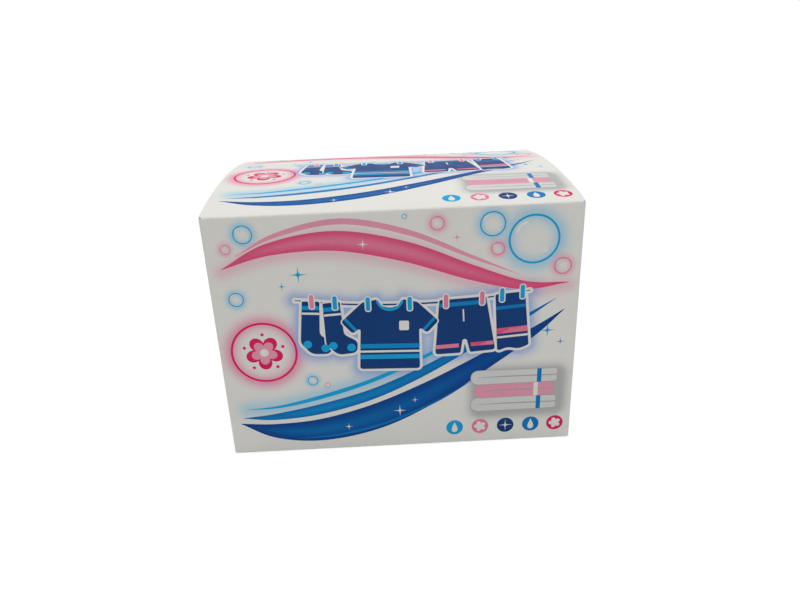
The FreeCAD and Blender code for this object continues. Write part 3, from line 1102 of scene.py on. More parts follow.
@dataclass
class SharedEffects:
    """The effects that more than one material uses, each a node group made once.

    The scales are those of noise, in features per metre.
    """

    mottle_scale: float = 900.0
    cloud_scale: float = 38.0
    scuff_scale: float = 520.0
    gloss_scale: float = 260.0
    grain_scale: float = 1500.0
    swell_scale: float = 45.0
    fibre_scale: float = 1400.0
    clump_scale: float = 120.0
    fleck_scale: float = 640.0
    press: NodeTree = field(init=False)
    fibres: NodeTree = field(init=False)

    def __post_init__(self) -> None:
        """Makes the groups."""
        self.press = self.make_press()
        self.fibres = self.make_fibres()

    def make_press(self) -> NodeTree:
        """What offset print does on coated board: mottle, scuffed folds and a fine grain.

        Returns:
            The group.
        """
        colour = {"Color": (1.0, 1.0, 1.0), "Worn Color": (0.7, 0.68, 0.64)}
        kinds = {"Color": "NodeSocketColor", "Roughness": "NodeSocketFloat", "Normal": "NodeSocketVector"}
        group, nodes, given, leave = new_group(
            "coated_print", {**colour, "Mottle": 0.05, "Scuff": 0.3}, kinds
        )
        where = nodes.place()
        mottle = nodes.varied(where, self.mottle_scale, 2.0, (-1.0, 1.0))
        cloud = nodes.varied(where, self.cloud_scale, 2.0, (-1.0, 1.0))
        change = nodes.maths("MULTIPLY", nodes.maths("ADD", mottle, cloud), given["Mottle"])
        level = nodes.maths("ADD", 1.0, nodes.maths("MULTIPLY", change, 0.5))
        shade = nodes.add("ShaderNodeCombineColor", Red=level, Green=level, Blue=level)
        tinted = nodes.add("ShaderNodeMix", data_type="RGBA", blend_type="MULTIPLY")
        nodes.feed(tinted, {0: 1.0, 6: given["Color"], 7: shade.outputs[0]})
        scuffs = nodes.ranged(nodes.noise(where, self.scuff_scale, 4.0), (0.5, 0.68), (0.0, 1.0))
        worn = nodes.maths("MULTIPLY", nodes.read("wear"), given["Scuff"])
        worn = nodes.maths("MULTIPLY", worn, scuffs)
        rough = nodes.varied(where, self.gloss_scale, 3.0, (0.46, 0.58))
        grain = nodes.bump(nodes.noise(where, self.grain_scale), 0.09, 0.00006)
        swell = nodes.bump(nodes.noise(where, self.swell_scale, 1.0), 0.35, 0.0004)
        nodes.feed(swell, {"Normal": grain.outputs[0]})
        results = {
            "Color": nodes.mix(worn, tinted.outputs[2], given["Worn Color"]),
            "Roughness": nodes.maths("ADD", rough, nodes.maths("MULTIPLY", worn, 0.3)),
            "Normal": swell.outputs[0],
        }
        nodes.feed(leave, results)
        return group

    def make_fibres(self) -> NodeTree:
        """The fibres and flecks of bare board, or the grains of a powder.

        Returns:
            The group.
        """
        colour = {"Color": (0.6, 0.58, 0.54), "Fleck Color": (0.3, 0.28, 0.25)}
        kinds = {"Color": "NodeSocketColor", "Mask": "NodeSocketFloat", "Height": "NodeSocketFloat"}
        group, nodes, given, leave = new_group("fibres", {**colour, "Scale": 1.0, "Flecks": 0.3}, kinds)
        scaled = nodes.add("ShaderNodeVectorMath", operation="SCALE")
        nodes.feed(scaled, {0: nodes.place(), "Scale": given["Scale"]})
        where = scaled.outputs[0]
        fine = nodes.noise(where, self.fibre_scale, 4.0)
        both = nodes.maths("ADD", fine, nodes.noise(where, self.clump_scale))
        level = nodes.ranged(both, (0.7, 1.3), (0.0, 1.0))
        flecks = nodes.ranged(nodes.noise(where, self.fleck_scale, 5.0), (0.6, 0.7), (0.0, 1.0))
        mask = nodes.maths("MULTIPLY", flecks, given["Flecks"])
        pale = nodes.add("ShaderNodeHueSaturation", Color=given["Color"])
        nodes.feed(pale, {"Value": nodes.ranged(level, (0.0, 1.0), (0.9, 1.06))})
        colour = nodes.mix(mask, pale.outputs[0], given["Fleck Color"])
        nodes.feed(leave, {"Color": colour, "Mask": mask, "Height": fine})
        return group


def start_material(name: str) -> tuple[Material, Nodes, Node]:
    """Starts a material with its shader and output in place.

    Args:
        name: The material's name.

    Returns:
        The material, its builder and its shader.
    """
    material = bpy.data.materials.new(name)
    material.use_nodes = True
    nodes = Nodes(material.node_tree)
    shader = nodes.add("ShaderNodeBsdfPrincipled")
    nodes.feed(nodes.add("ShaderNodeOutputMaterial"), {"Surface": shader.outputs[0]})
    return material, nodes, shader


def place_group(nodes: Nodes, group: NodeTree, values: dict[str, object]) -> NodeOutputs:
    """The outputs of a shared effect that is put into a material with its own values."""
    return nodes.feed(nodes.add("ShaderNodeGroup", node_tree=group), values).outputs


@dataclass(frozen=True)
class InkFinish:
    """A printed ink on coated board, which may change colour along the design.

    Attributes:
        ink: Which ink it is.
        colour: Its colour, at the left where it changes.
        far_colour: Its colour at the right.
        slant: How much of the change runs up the panel and not along it.
        rim_colour: Its colour at the rims of a ribbon.
        mottle: How unevenly it prints.
        gloss: How strongly it mirrors.
    """

    ink: Ink
    colour: Triple
    far_colour: Triple | None = None
    slant: float = 0.0
    rim_colour: Triple | None = None
    mottle: float = 0.05
    gloss: float = 0.1

    def make(self, effects: SharedEffects) -> Material:
        """Makes the ink's material.

        Args:
            effects: The shared effects.

        Returns:
            The material.
        """
        material, nodes, shader = start_material(self.ink.value)
        colour: object = self.colour
        if self.far_colour:
            layout = nodes.add("ShaderNodeUVMap", uv_map="design")
            parts = nodes.feed(nodes.add("ShaderNodeSeparateXYZ"), {0: layout.outputs[0]}).outputs
            climb = nodes.maths("MULTIPLY", parts["Y"], self.slant)
            share = nodes.ranged(nodes.maths("ADD", parts["X"], climb), (0.05, 0.95), (0, 1))
            colour = nodes.mix(share, self.colour, self.far_colour)
        if self.rim_colour:
            colour = nodes.mix(nodes.read(Glow.RIM.value), colour, self.rim_colour)
        if self.ink is Ink.BOARD:
            colour = self.glowing(nodes)
        press = place_group(nodes, effects.press, {"Color": colour, "Mottle": self.mottle})
        nodes.feed(shader, {"Base Color": press["Color"], "Normal": press["Normal"]})
        nodes.feed(shader, {"Roughness": press["Roughness"]})
        shader.inputs["Specular IOR Level"].default_value = self.gloss
        return material

    def glowing(self, nodes: Nodes) -> NodeSocket:
        """The bare board's colour under the printed glows.

        Args:
            nodes: The material's builder.

        Returns:
            The colour's socket.
        """
        colour: object = self.colour
        for glow, tint in (
            (Glow.CYAN, (0.26, 0.62, 0.84)),
            (Glow.PINK, (0.85, 0.38, 0.51)),
            (Glow.LILAC, (0.33, 0.46, 0.78)),
            (Glow.SHADE, (0.36, 0.37, 0.38)),
        ):
            colour = nodes.mix(nodes.read(glow.value), colour, tint)
        return colour


@dataclass(frozen=True)
class BareBoardFinish:
    """Uncoated board with fibres and flecks: the inside of the sheet, or its cut edge."""

    name: str
    colour: Triple
    fleck_colour: Triple
    flecks: float
    scale: float = 1.0
    roughness: float = 0.85
    gloss: float = 0.2

    def make(self, effects: SharedEffects) -> Material:
        """Makes the bare board's material.

        Args:
            effects: The shared effects.

        Returns:
            The material.
        """
        material, nodes, shader = start_material(self.name)
        values = {"Color": self.colour, "Fleck Color": self.fleck_colour, "Scale": self.scale}
        fibres = place_group(nodes, effects.fibres, {**values, "Flecks": self.flecks})
        relief = self.relief(nodes, fibres["Height"]).outputs[0]
        nodes.feed(shader, {"Base Color": fibres["Color"], "Normal": relief})
        shader.inputs["Roughness"].default_value = self.roughness
        shader.inputs["Specular IOR Level"].default_value = self.gloss
        return material

    def relief(self, nodes: Nodes, height: NodeSocket) -> Node:
        """The bump of the fibres, whose height is given."""
        return nodes.bump(height, 0.25, 0.00008)


@dataclass(frozen=True)
class PowderFinish(BareBoardFinish):
    """Washing powder: round grains in place of fibres, with a few coloured ones."""

    scale: float = 1.25
    roughness: float = 0.9
    gloss: float = 0.25
    bump: float = 0.3
    grains_per_metre: float = 1500.0

    def relief(self, nodes: Nodes, height: NodeSocket) -> Node:
        """The bump of the grains.

        Args:
            nodes: The material's builder.
            height: The height of the fibres, which the grains hide; not used.

        Returns:
            The bump.
        """
        cells = nodes.add("ShaderNodeTexVoronoi")
        nodes.feed(cells, {"Vector": nodes.place(), "Scale": self.grains_per_metre})
        return nodes.bump(cells.outputs["Distance"], self.bump, 0.0005, invert=True)


@dataclass(frozen=True)
class PlasticFinish:
    """Moulded spoon plastic, faintly milky, with a fine spark-eroded texture."""

    name: str
    colour: Triple
    roughness: float
    milkiness: float = 0.12
    cloud_scale: float = 60.0
    gloss_scale: float = 300.0
    texture_scale: float = 2500.0

    def make(self) -> Material:
        """Makes the plastic's material.

        Returns:
            The material.
        """
        material, nodes, shader = start_material(self.name)
        where = nodes.place()
        pale = nodes.add("ShaderNodeHueSaturation", Color=self.colour)
        nodes.feed(pale, {"Value": nodes.varied(where, self.cloud_scale, 2.0, (0.97, 1.03))})
        rough = (self.roughness - 0.05, self.roughness + 0.07)
        bump = nodes.bump(nodes.noise(where, self.texture_scale, 2.0), 0.08, 0.00005)
        results = {
            "Base Color": pale.outputs[0],
            "Roughness": nodes.varied(where, self.gloss_scale, 3.0, rough),
            "Normal": bump.outputs[0],
            "Subsurface Weight": self.milkiness,
            "Subsurface Radius": (0.004, 0.004, 0.0045),
            "Subsurface Scale": 0.3,
        }
        nodes.feed(shader, results)
        return material


WHITE = (0.84, 0.832, 0.782)
INK_FINISHES = (
    InkFinish(Ink.BOARD, WHITE, mottle=0.018),
    InkFinish(Ink.BOARD_BARE, WHITE, mottle=0.018),
    InkFinish(Ink.NAVY, (0.006, 0.050, 0.20), mottle=0.08),
    InkFinish(Ink.OCEAN, (0.001, 0.20, 0.52), (0.001, 0.085, 0.36), 0.2, (0.0005, 0.055, 0.27)),
    InkFinish(Ink.AZURE, (0.002, 0.36, 0.72), (0.002, 0.19, 0.52), 0.0, (0.001, 0.15, 0.46)),
    InkFinish(Ink.CYAN, (0.008, 0.39, 0.74)),
    InkFinish(Ink.PINK, (0.83, 0.30, 0.42), (0.82, 0.20, 0.33), 0.0, (0.79, 0.085, 0.215)),
    InkFinish(Ink.ROSE, (0.83, 0.34, 0.46)),
    InkFinish(Ink.CRIMSON, (0.76, 0.015, 0.12)),
    InkFinish(Ink.GREY, (0.42, 0.43, 0.42)),
    InkFinish(Ink.PALE_GREY, (0.70, 0.71, 0.69)),
)
INSIDE = BareBoardFinish("board_inside", (0.60, 0.58, 0.53), (0.36, 0.33, 0.28), 0.35)
CUT_EDGE = BareBoardFinish("board_cut_edge", (0.66, 0.64, 0.59), (0.40, 0.37, 0.32), 0.3, 1.6)
POWDER = PowderFinish("powder_bed", (0.80, 0.83, 0.86), (0.16, 0.42, 0.75), 0.45, bump=0.8)
GRAINS = PowderFinish("powder_grains", (0.82, 0.85, 0.88), (0.45, 0.62, 0.80), 0.2)
BLUE_GRAINS = PowderFinish("powder_blue_grains", (0.10, 0.32, 0.72), (0.3, 0.5, 0.8), 0.2)
SPOON = PlasticFinish("spoon_plastic", (0.80, 0.81, 0.80), 0.34)


# The box


@dataclass(frozen=True)
class BoxSizes:
    """The sizes that the carton and its lid share, in millimetres."""

    width: float = 125.0
    depth: float = 89.0
    height: float = 91.0
    board: float = 0.5
    fold: float = 1.0
    lid_fold: float = 0.9
    lid_play: float = 0.2
    post_drop: float = 0.55
    tuck_rise: float = 0.3
    bow: float = 3.2
    bow_left: float = 3.35
    bow_right: float = 2.75
    flap_play: float = 0.3
    dust_flap: float = 34.0
    dust_taper: float = 19.0
    dust_end_play: float = 2.2
    dust_corner: float = 6.0

    @property
    def side_top(self) -> float:
        """The height of the dust flaps' folds."""
        return self.height - self.board - self.lid_play

    @property
    def tuck_face(self) -> float:
        """The tuck flap's outside at its fold, from the middle of the box."""
        return self.depth / 2 - self.board - self.lid_play

    def hinge(self) -> Pair:
        """Where the lid starts on its fold with the front panel, as y and z."""
        inset = self.lid_fold * (1 - math.sqrt(0.5))
        return inset - self.depth / 2, self.height - inset

    def bow_at(self, x: Array) -> Array:
        """How far the lid bows up at a distance from the middle."""
        share = x / self.width + 0.5
        return self.bow_left + (self.bow_right - self.bow_left) * share


@dataclass
class CartonBoard:
    """The folded sheet without its lid: four panels, the seam tab and six flaps."""

    sizes: BoxSizes = field(default_factory=BoxSizes)
    art: Artwork = field(default_factory=Artwork)
    seam_setback: float = 0.4
    tab_width: float = 13.0
    tab_bevel: float = 4.0
    front_flap: float = 87.0
    back_flap: float = 66.0
    side_flap: float = 38.0
    side_flap_play: float = 0.8
    grid: float = 1.25
    print_bleed: float = 1.2
    print_low: float = 2.0
    fill_low: float = 2.5
    fill_high: float = 1.4
    coarse_grid: float = 5.0
    coarse_inset: float = 2.0
    coarse_low: float = 3.0
    coarse_high: float = 5.0
    overrun: float = 5.0
    plan: FoldLine = field(init=False)
    starts: dict[str, Pair] = field(init=False)
    profiles: dict[str, tuple[FoldLine, float]] = field(init=False)

    def __post_init__(self) -> None:
        """Works out the sheet's fold lines."""
        self.plan = self.make_plan()
        self.profiles = self.make_profiles()

    def make_plan(self) -> FoldLine:
        """The walls seen from above, from the side panel's free edge round to the tab's.

        Returns:
            Their fold line. Where each wall starts and ends along it is noted too.
        """
        s = self.sizes
        plan = FoldLine(s.width / 2, s.depth / 2 - self.seam_setback, -QUARTER)
        self.starts = {}
        runs = (
            ("right", s.depth - self.seam_setback - s.fold),
            ("front", s.width - 2 * s.fold),
            ("left", s.depth - 2 * s.fold),
            ("back", s.width - s.board - 2 * s.fold),
            ("tab", self.tab_width - s.fold),
        )
        for name, length in runs:
            begin = plan.length
            plan.run(length)
            self.starts[name] = (begin, plan.length)
            if name != "tab":
                plan.fold(s.fold, QUARTER)
        return plan

    def make_profiles(self) -> dict[str, tuple[FoldLine, float]]:
        """Each panel seen from its side, from its bottom flap's free edge to its top.

        Returns:
            For each panel its fold line, and the height less the distance along it.
        """
        s = self.sizes
        found = {}
        for name, level, length in (
            ("front", 0.0, self.front_flap),
            ("back", s.board, self.back_flap),
            ("left", 2 * s.board, self.side_flap),
            ("right", 2 * s.board, self.side_flap),
        ):
            profile = FoldLine(length, level, math.pi)
            profile.run(length - s.fold).fold(s.fold, QUARTER)
            shift = profile.y - profile.length
            if name == "front":
                profile.run(s.height - s.lid_fold - profile.y)
                profile.fold(s.lid_fold, QUARTER / 2)
            elif name == "back":
                profile.run(s.height - profile.y)
            else:
                turn = QUARTER - self.dust_rise(-1 if name == "left" else 1)
                reach = s.fold * math.tan(turn / 2)
                profile.run(s.side_top - reach - profile.y)
                profile.fold(s.fold, turn)
                profile.run(s.dust_flap - reach)
            found[name] = (profile, shift)
        return found

    def dust_rise(self, side: int) -> float:
        """The angle at which a dust flap springs up against the lid.

        Args:
            side: -1 for the flap at the left, 1 for the one at the right.

        Returns:
            The angle in radians.
        """
        s = self.sizes
        free = (s.depth / 2 - s.board - s.dust_end_play - s.dust_taper) / (s.depth / 2)
        x = side * (s.width / 2 - s.dust_flap)
        bow = min(float(s.bow_at(np.array(x))), float(s.bow_at(np.array(side * s.width / 2))))
        top = s.height + min(bow, s.bow) * (1 - free**2) - s.board - s.flap_play
        return math.asin((top - s.side_top) / s.dust_flap)

    def outline(self) -> Array:
        """The cut edge of the sheet.

        Returns:
            Its flat points.
        """
        s = self.sizes
        foot = 2 * s.board + s.fold
        points: list[Pair] = []
        tops: list[Pair] = []
        names = list(self.starts)
        for name, after in zip(names, names[1:]):
            begin, end = self.starts[name]
            play = self.side_flap_play if name in ("right", "left") else 0.0
            inner = begin + play + (self.seam_setback if name == "right" else 0.0)
            free = self.profiles[name][1]
            points += [(begin, foot), (inner, foot), (inner, free), (end - play, free)]
            points += [(end - play, foot), (end, foot), (end, s.board)]
            if after != "tab":
                points.append((self.starts[after][0], s.board))
            tops.extend(self.top_edge(name))
        begin, end = self.starts["tab"]
        seam = begin - self.seam_setback
        tab_top = s.side_top - s.fold
        points += [(seam, s.board), (seam, foot + s.board), (end, foot + s.board)]
        points += [(end, tab_top - self.tab_bevel), (seam, tab_top), (seam, s.height)]
        return loop(points + tops[::-1])

    def top_edge(self, name: str) -> list[Pair]:
        """One panel's top edge, with its flap.

        Args:
            name: The panel's name.

        Returns:
            The edge's flat points, in the plan's direction.
        """
        s = self.sizes
        begin, end = self.starts[name]
        profile, shift = self.profiles[name]
        far = profile.length + shift
        post = s.height - s.post_drop
        if name == "front":
            return [(begin, post), (begin, far), (end, far), (end, post)]
        if name == "back":
            return [(begin, s.height), (end, s.height)]
        low = s.side_top - s.fold
        shoulder = s.side_top + s.fold
        middle = end + s.fold - s.depth / 2 if name == "right" else begin - s.fold + s.depth / 2
        reach = s.depth / 2 - s.board - s.dust_end_play
        free = reach - s.dust_taper
        flap = [(middle - reach, low), (middle - reach, shoulder)]
        for side in (-1, 1):
            corner = [(middle + side * reach, shoulder), (middle + side * free, far), (middle, far)]
            curve = rounded(corner, [0, s.dust_corner, 0])
            flap += [tuple(point) for point in curve[np.argsort(curve[:, 0])][1:-1]]
        flap += [(middle + reach, shoulder), (middle + reach, low), (end, low)]
        if name == "right":
            return [(begin, low), *flap, (end, post)]
        return [(begin, post), (begin, low), *flap, (end, s.height)]

    def place(self, flat: Array) -> tuple[Array, Array]:
        """Folds flat points up into the carton.

        Args:
            flat: The flat points.

        Returns:
            Their places, and the unit vectors that point into the board.
        """
        walls, inward = self.plan.place(flat[:, 0])
        places = np.column_stack((walls, flat[:, 1]))
        inwards = np.column_stack((inward, np.zeros(len(flat))))
        for name, (profile, shift) in self.profiles.items():
            begin, end = self.starts[name]
            here = (flat[:, 0] >= begin - 1e-3) & (flat[:, 0] <= end + 1e-3)
            side, into = profile.place(flat[here, 1] - shift)
            places[here, :2] = walls[here] + inward[here] * side[:, :1]
            places[here, 2] = side[:, 1]
            inwards[here, :2] = inward[here] * into[:, :1]
            inwards[here, 2] = into[:, 1]
        return places, inwards

    def design_of(self, flat: Array) -> Array:
        """The design's coordinates of flat points on the front panel, and far off elsewhere.

        Args:
            flat: The flat points.

        Returns:
            The coordinates.
        """
        begin, end = self.starts["front"]
        x, y = flat.T
        found = self.flat_of(flat)
        away = (x < begin - self.print_bleed) | (x > end + self.print_bleed) | (y < self.print_low)
        found[away] = NO_PRINT
        return found

    def flat_of(self, drawn: Array) -> Array:
        """Where points of the design lie on the flat sheet, and the other way round."""
        middle = sum(self.starts["front"]) / 2
        return np.column_stack((self.sizes.width / 2 + middle - drawn[:, 0], drawn[:, 1]))

    def wear_of(self, flat: Array) -> Array:
        """How exposed flat points are to rubbing: the folds most.

        Args:
            flat: The flat points.

        Returns:
            Each point's wear, up to 1.
        """
        s = self.sizes
        found = np.zeros(len(flat))
        for name in self.profiles:
            fold = self.starts[name][1] + s.fold * QUARTER / 2
            found = np.maximum(found, fading(flat[:, 0] - fold, 0.9))
        for height, reach in ((0.9, 1.0), (s.height - 0.4, 0.9)):
            found = np.maximum(found, 0.7 * fading(flat[:, 1] - height, reach))
        return found

    def scores(self) -> list[tuple[Pair, Pair]]:
        """All the lines at which the sheet bends.

        Returns:
            The start and the end of each.
        """
        low = -self.front_flap - self.overrun
        high = self.sizes.height + self.sizes.dust_flap + self.overrun
        found = [((u, low), (u, high)) for u in self.plan.creases()]
        for name, (profile, shift) in self.profiles.items():
            begin, end = self.starts[name]
            found += [((begin, v + shift), (end, v + shift)) for v in profile.creases()]
        return found

    def filled(self) -> Array:
        """Flat points between the scores, closer together where the sheet is printed.

        Returns:
            The points.
        """
        begin, end = self.starts["front"]
        low = self.fill_low
        high = self.sizes.height - self.fill_high
        profile, shift = self.profiles["front"]
        level = [v + shift for v in profile.creases() if v + shift > high / 2]
        upright = [u for u in self.plan.creases() if begin - 2 < u < end + 2]
        found = [filling((begin, low), (end, high), self.grid)]
        found.append(along_scores(begin, end, level, self.grid))
        found.append(along_scores(low, high, upright, self.grid)[:, ::-1])
        high = self.sizes.height - self.coarse_high
        for name in ("right", "left", "back"):
            left = (self.starts[name][0] + self.coarse_inset, self.coarse_low)
            right = (self.starts[name][1] - self.coarse_inset, high)
            found.append(filling(left, right, self.coarse_grid))
        return np.vstack(found)

    def build(self, materials: list[Material]) -> Object:
        """The carton, cut, printed and folded, of the inks and then its inside and cut edge."""
        return Blank(self).fold("carton_board", materials)

    def layout(self) -> Layout:
        """The carton's texture: the front panel large, the rest of the sheet small.

        Returns:
            The layout.
        """
        s = self.sizes
        begin, end = self.starts["front"]
        sheet = (0.0, -self.front_flap - 1)
        return Layout(
            printed=Island(0.0055, (0.005, 0.47), (begin - 1.6, -1.0)),
            window=((begin - s.fold, -0.5), (end + s.fold, s.height + 5)),
            plain=Island(0.0021, (0.005, 0.005), sheet),
            inside=Island(0.0012, (0.735, 0.46), sheet, turned=True),
        )


@dataclass
class LidBoard:
    """The bowed lid panel, its tuck fold and its tuck flap."""

    sizes: BoxSizes = field(default_factory=BoxSizes)
    art: Artwork = field(default_factory=Artwork)
    side_inset: float = 0.15
    side_taper: float = 0.5
    shoulder: float = 0.7
    back_corner: float = 1.6
    neck: Pair = (0.3, 1.2)
    tuck: float = 15.0
    tuck_inset: float = 1.95
    tuck_corner: float = 8.0
    slit_length: float = 7.0
    slit_height: float = 0.35
    print_end: float = 0.6
    print_shift: float = 0.3
    grid: float = 1.25
    section: FoldLine = field(init=False)
    stations: Triple = field(init=False)

    def __post_init__(self) -> None:
        """Works out the lid's section, from its hinge to the tuck flap's free edge."""
        s = self.sizes
        front = (s.lid_fold - s.depth / 2, s.height - s.lid_fold)
        back = (s.tuck_face - s.lid_fold, s.height + s.tuck_rise - s.lid_fold)
        chord = math.dist(front, back)
        radius = chord**2 / (8 * s.bow) + s.bow / 2
        tilt = math.atan2(back[1] - front[1], back[0] - front[0])
        half = math.asin(chord / 2 / radius)
        hinge_y, hinge_z = s.hinge()
        swing = s.tuck_face - hinge_y
        lean_in = swing - math.sqrt(swing**2 - self.tuck**2) + s.lid_play
        lean = math.asin(lean_in / self.tuck)
        section = FoldLine(hinge_y, hinge_z, QUARTER / 2)
        section.fold(s.lid_fold, QUARTER / 2 - tilt - half)
        panel_start = section.length
        section.fold(radius + s.lid_fold, 2 * half)
        fold_start = section.length
        section.fold(s.lid_fold, QUARTER + lean + tilt - half)
        tuck_start = section.length
        section.run(self.tuck)
        self.section = section
        self.stations = (panel_start, fold_start, tuck_start)

    def outline(self) -> Array:
        """The cut edge of the lid, with the two slits of its tuck flap.

        Returns:
            Its flat points: across, and then along the section.
        """
        _, fold_start, tuck_start = self.stations
        edge_x = self.sizes.width / 2 - self.side_inset
        back_x = edge_x - self.side_taper
        tuck_x = back_x - self.tuck_inset
        slit_x = tuck_x - self.slit_length
        slit_top = tuck_start + self.slit_height
        wide, narrow = self.neck
        half = [(self.sizes.width / 2 - self.sizes.fold, 0.0), (edge_x, self.shoulder)]
        half += [(back_x, fold_start + wide), (tuck_x, fold_start + narrow), (tuck_x, tuck_start)]
        half += [(slit_x, tuck_start), (slit_x, slit_top), (tuck_x, slit_top)]
        half += [(tuck_x, tuck_start + self.tuck)]
        radii = [0, 0, self.back_corner, 0, 0, 0, 0, 0, self.tuck_corner]
        return rounded(half + mirrored(half), radii + radii[::-1])

    def place(self, flat: Array) -> tuple[Array, Array]:
        """Folds flat points into the closed lid, which bows more at its left.

        Args:
            flat: The flat points.

        Returns:
            Their places, and the unit vectors that point into the board.
        """
        s = self.sizes
        side, into = self.section.place(flat[:, 1])
        share = np.clip((side[:, 0] + s.depth / 2) / s.depth, 0, 1)
        share = np.where(flat[:, 1] > self.stations[1], 1.0, share)
        lift = (s.bow_at(flat[:, 0]) - s.bow) * 4 * share * (1 - share)
        places = np.column_stack((flat[:, 0], side[:, 0], side[:, 1] + lift))
        inwards = np.column_stack((np.zeros(len(flat)), into))
        return places, inwards

    def design_of(self, flat: Array) -> Array:
        """The design's coordinates of flat points on the lid, and far off on the tuck flap."""
        drawn = flat + (self.sizes.width / 2, -self.print_shift)
        return np.where(flat[:, 1:] > self.stations[2], NO_PRINT, drawn)

    def flat_of(self, drawn: Array) -> Array:
        """Where an outline of the design lies on the flat lid."""
        return drawn - (self.sizes.width / 2, -self.print_shift)

    def wear_of(self, flat: Array) -> Array:
        """How exposed flat points are to rubbing: the folds and the free edges most.

        Args:
            flat: The flat points.

        Returns:
            Each point's wear, up to 1.
        """
        x, y = flat.T
        _, fold_start, tuck_start = self.stations
        taper = self.side_taper * np.clip(y / fold_start, 0, 1)
        edge = self.sizes.width / 2 - self.side_inset - taper - np.abs(x)
        found = np.maximum(fading(y, 0.9), fading(y - (fold_start + tuck_start) / 2, 1.0))
        return np.maximum(found, 0.8 * fading(edge, 0.6))

    def creases(self) -> list[float]:
        """Where along its section the lid is scored."""
        return [*self.section.creases(), self.stations[2] + self.print_end]

    def scores(self) -> list[tuple[Pair, Pair]]:
        """The start and the end of all the lines at which the lid bends."""
        half = self.sizes.width / 2
        return [((-half, v), (half, v)) for v in self.creases()]

    def filled(self) -> Array:
        """Flat points between the scores and along them.

        Returns:
            The points.
        """
        half = self.sizes.width / 2
        panel = filling((1 - half, 1.5), (half - 1, self.stations[1] - 0.5), self.grid)
        return np.vstack((panel, along_scores(1 - half, half - 1, self.creases(), self.grid)))

    def build(self, materials: list[Material]) -> Object:
        """The lid, cut, printed and folded, of the inks and then its inside and cut edge."""
        return Blank(self).fold("lid_board", materials)

    def layout(self) -> Layout:
        """The lid's texture: its panel large, its tuck flap and its inside small.

        Returns:
            The layout.
        """
        half = self.sizes.width / 2
        tuck_start = self.stations[2]
        return Layout(
            printed=Island(0.0078, (0.01, 0.25), (-half, -0.5)),
            window=((-half, -1.0), (half, tuck_start)),
            plain=Island(0.003, (0.5, 0.19), (-half, tuck_start)),
            inside=Island(0.0019, (0.01, 0.01), (-half, -0.5)),
        )


# What the box holds


def lifted(plan: Array, level: float) -> Array:
    """The points of a plan, all at one level."""
    return np.column_stack((plan, np.full(len(plan), level)))


@dataclass
class Surface:
    """Faces gathered piece by piece, then welded into one mesh. Sizes are in millimetres."""

    points: list[Array] = field(default_factory=list)
    faces: list[tuple[int, ...]] = field(default_factory=list)
    count: int = 0

    def add(self, points: Array, faces: list[tuple[int, ...]]) -> None:
        """Adds points and the faces between them."""
        self.points.append(np.asarray(points, float))
        self.faces.extend(tuple(index + self.count for index in face) for face in faces)
        self.count += len(points)

    def skin(self, rings: Sequence[Array]) -> None:
        """Adds a closed band through rings that have the same number of points.

        Args:
            rings: The rings, in their order.
        """
        cells = np.arange(len(rings) * len(rings[0])).reshape(len(rings), -1)
        after = np.roll(cells, -1, axis=1)
        faces = np.stack((cells[:-1], after[:-1], after[1:], cells[1:]), axis=2)
        self.add(np.vstack(rings), faces.reshape(-1, 4).tolist())

    def sheet(self, outline: Array, holes: list[Array], level: float, up: bool) -> None:
        """Adds a level sheet.

        Args:
            outline: Its outline.
            holes: The outlines of its holes.
            level: Its height.
            up: Whether it faces up.
        """
        plane, triangles = closed_cut([outline, *holes], [], np.empty((0, 2)), 1e-6)
        middles = plane[triangles].mean(axis=1)
        keep = winding(middles, outline) != 0
        for hole in holes:
            keep &= winding(middles, hole) == 0
        kept = triangles[keep] if up else triangles[keep][:, ::-1]
        self.add(lifted(plane, level), kept.tolist())

    def build(self, name: str, material: Material, sharp: float) -> Object:
        """Welds what was gathered into an object.

        Args:
            name: The object's name.
            material: What it is made of.
            sharp: The angle in degrees from which an edge is sharp.

        Returns:
            The object, in the scene.
        """
        mesh = bpy.data.meshes.new(name)
        mesh.from_pydata((np.vstack(self.points) * MM).tolist(), [], self.faces)
        work = bmesh.new()
        work.from_mesh(mesh)
        bmesh.ops.remove_doubles(work, verts=work.verts, dist=2e-6)
        bmesh.ops.recalc_face_normals(work, faces=work.faces)
        work.to_mesh(mesh)
        work.free()
        mesh.materials.append(material)
        smoothed(mesh).set_sharp_from_angle(angle=math.radians(sharp))
        return linked(name, mesh)


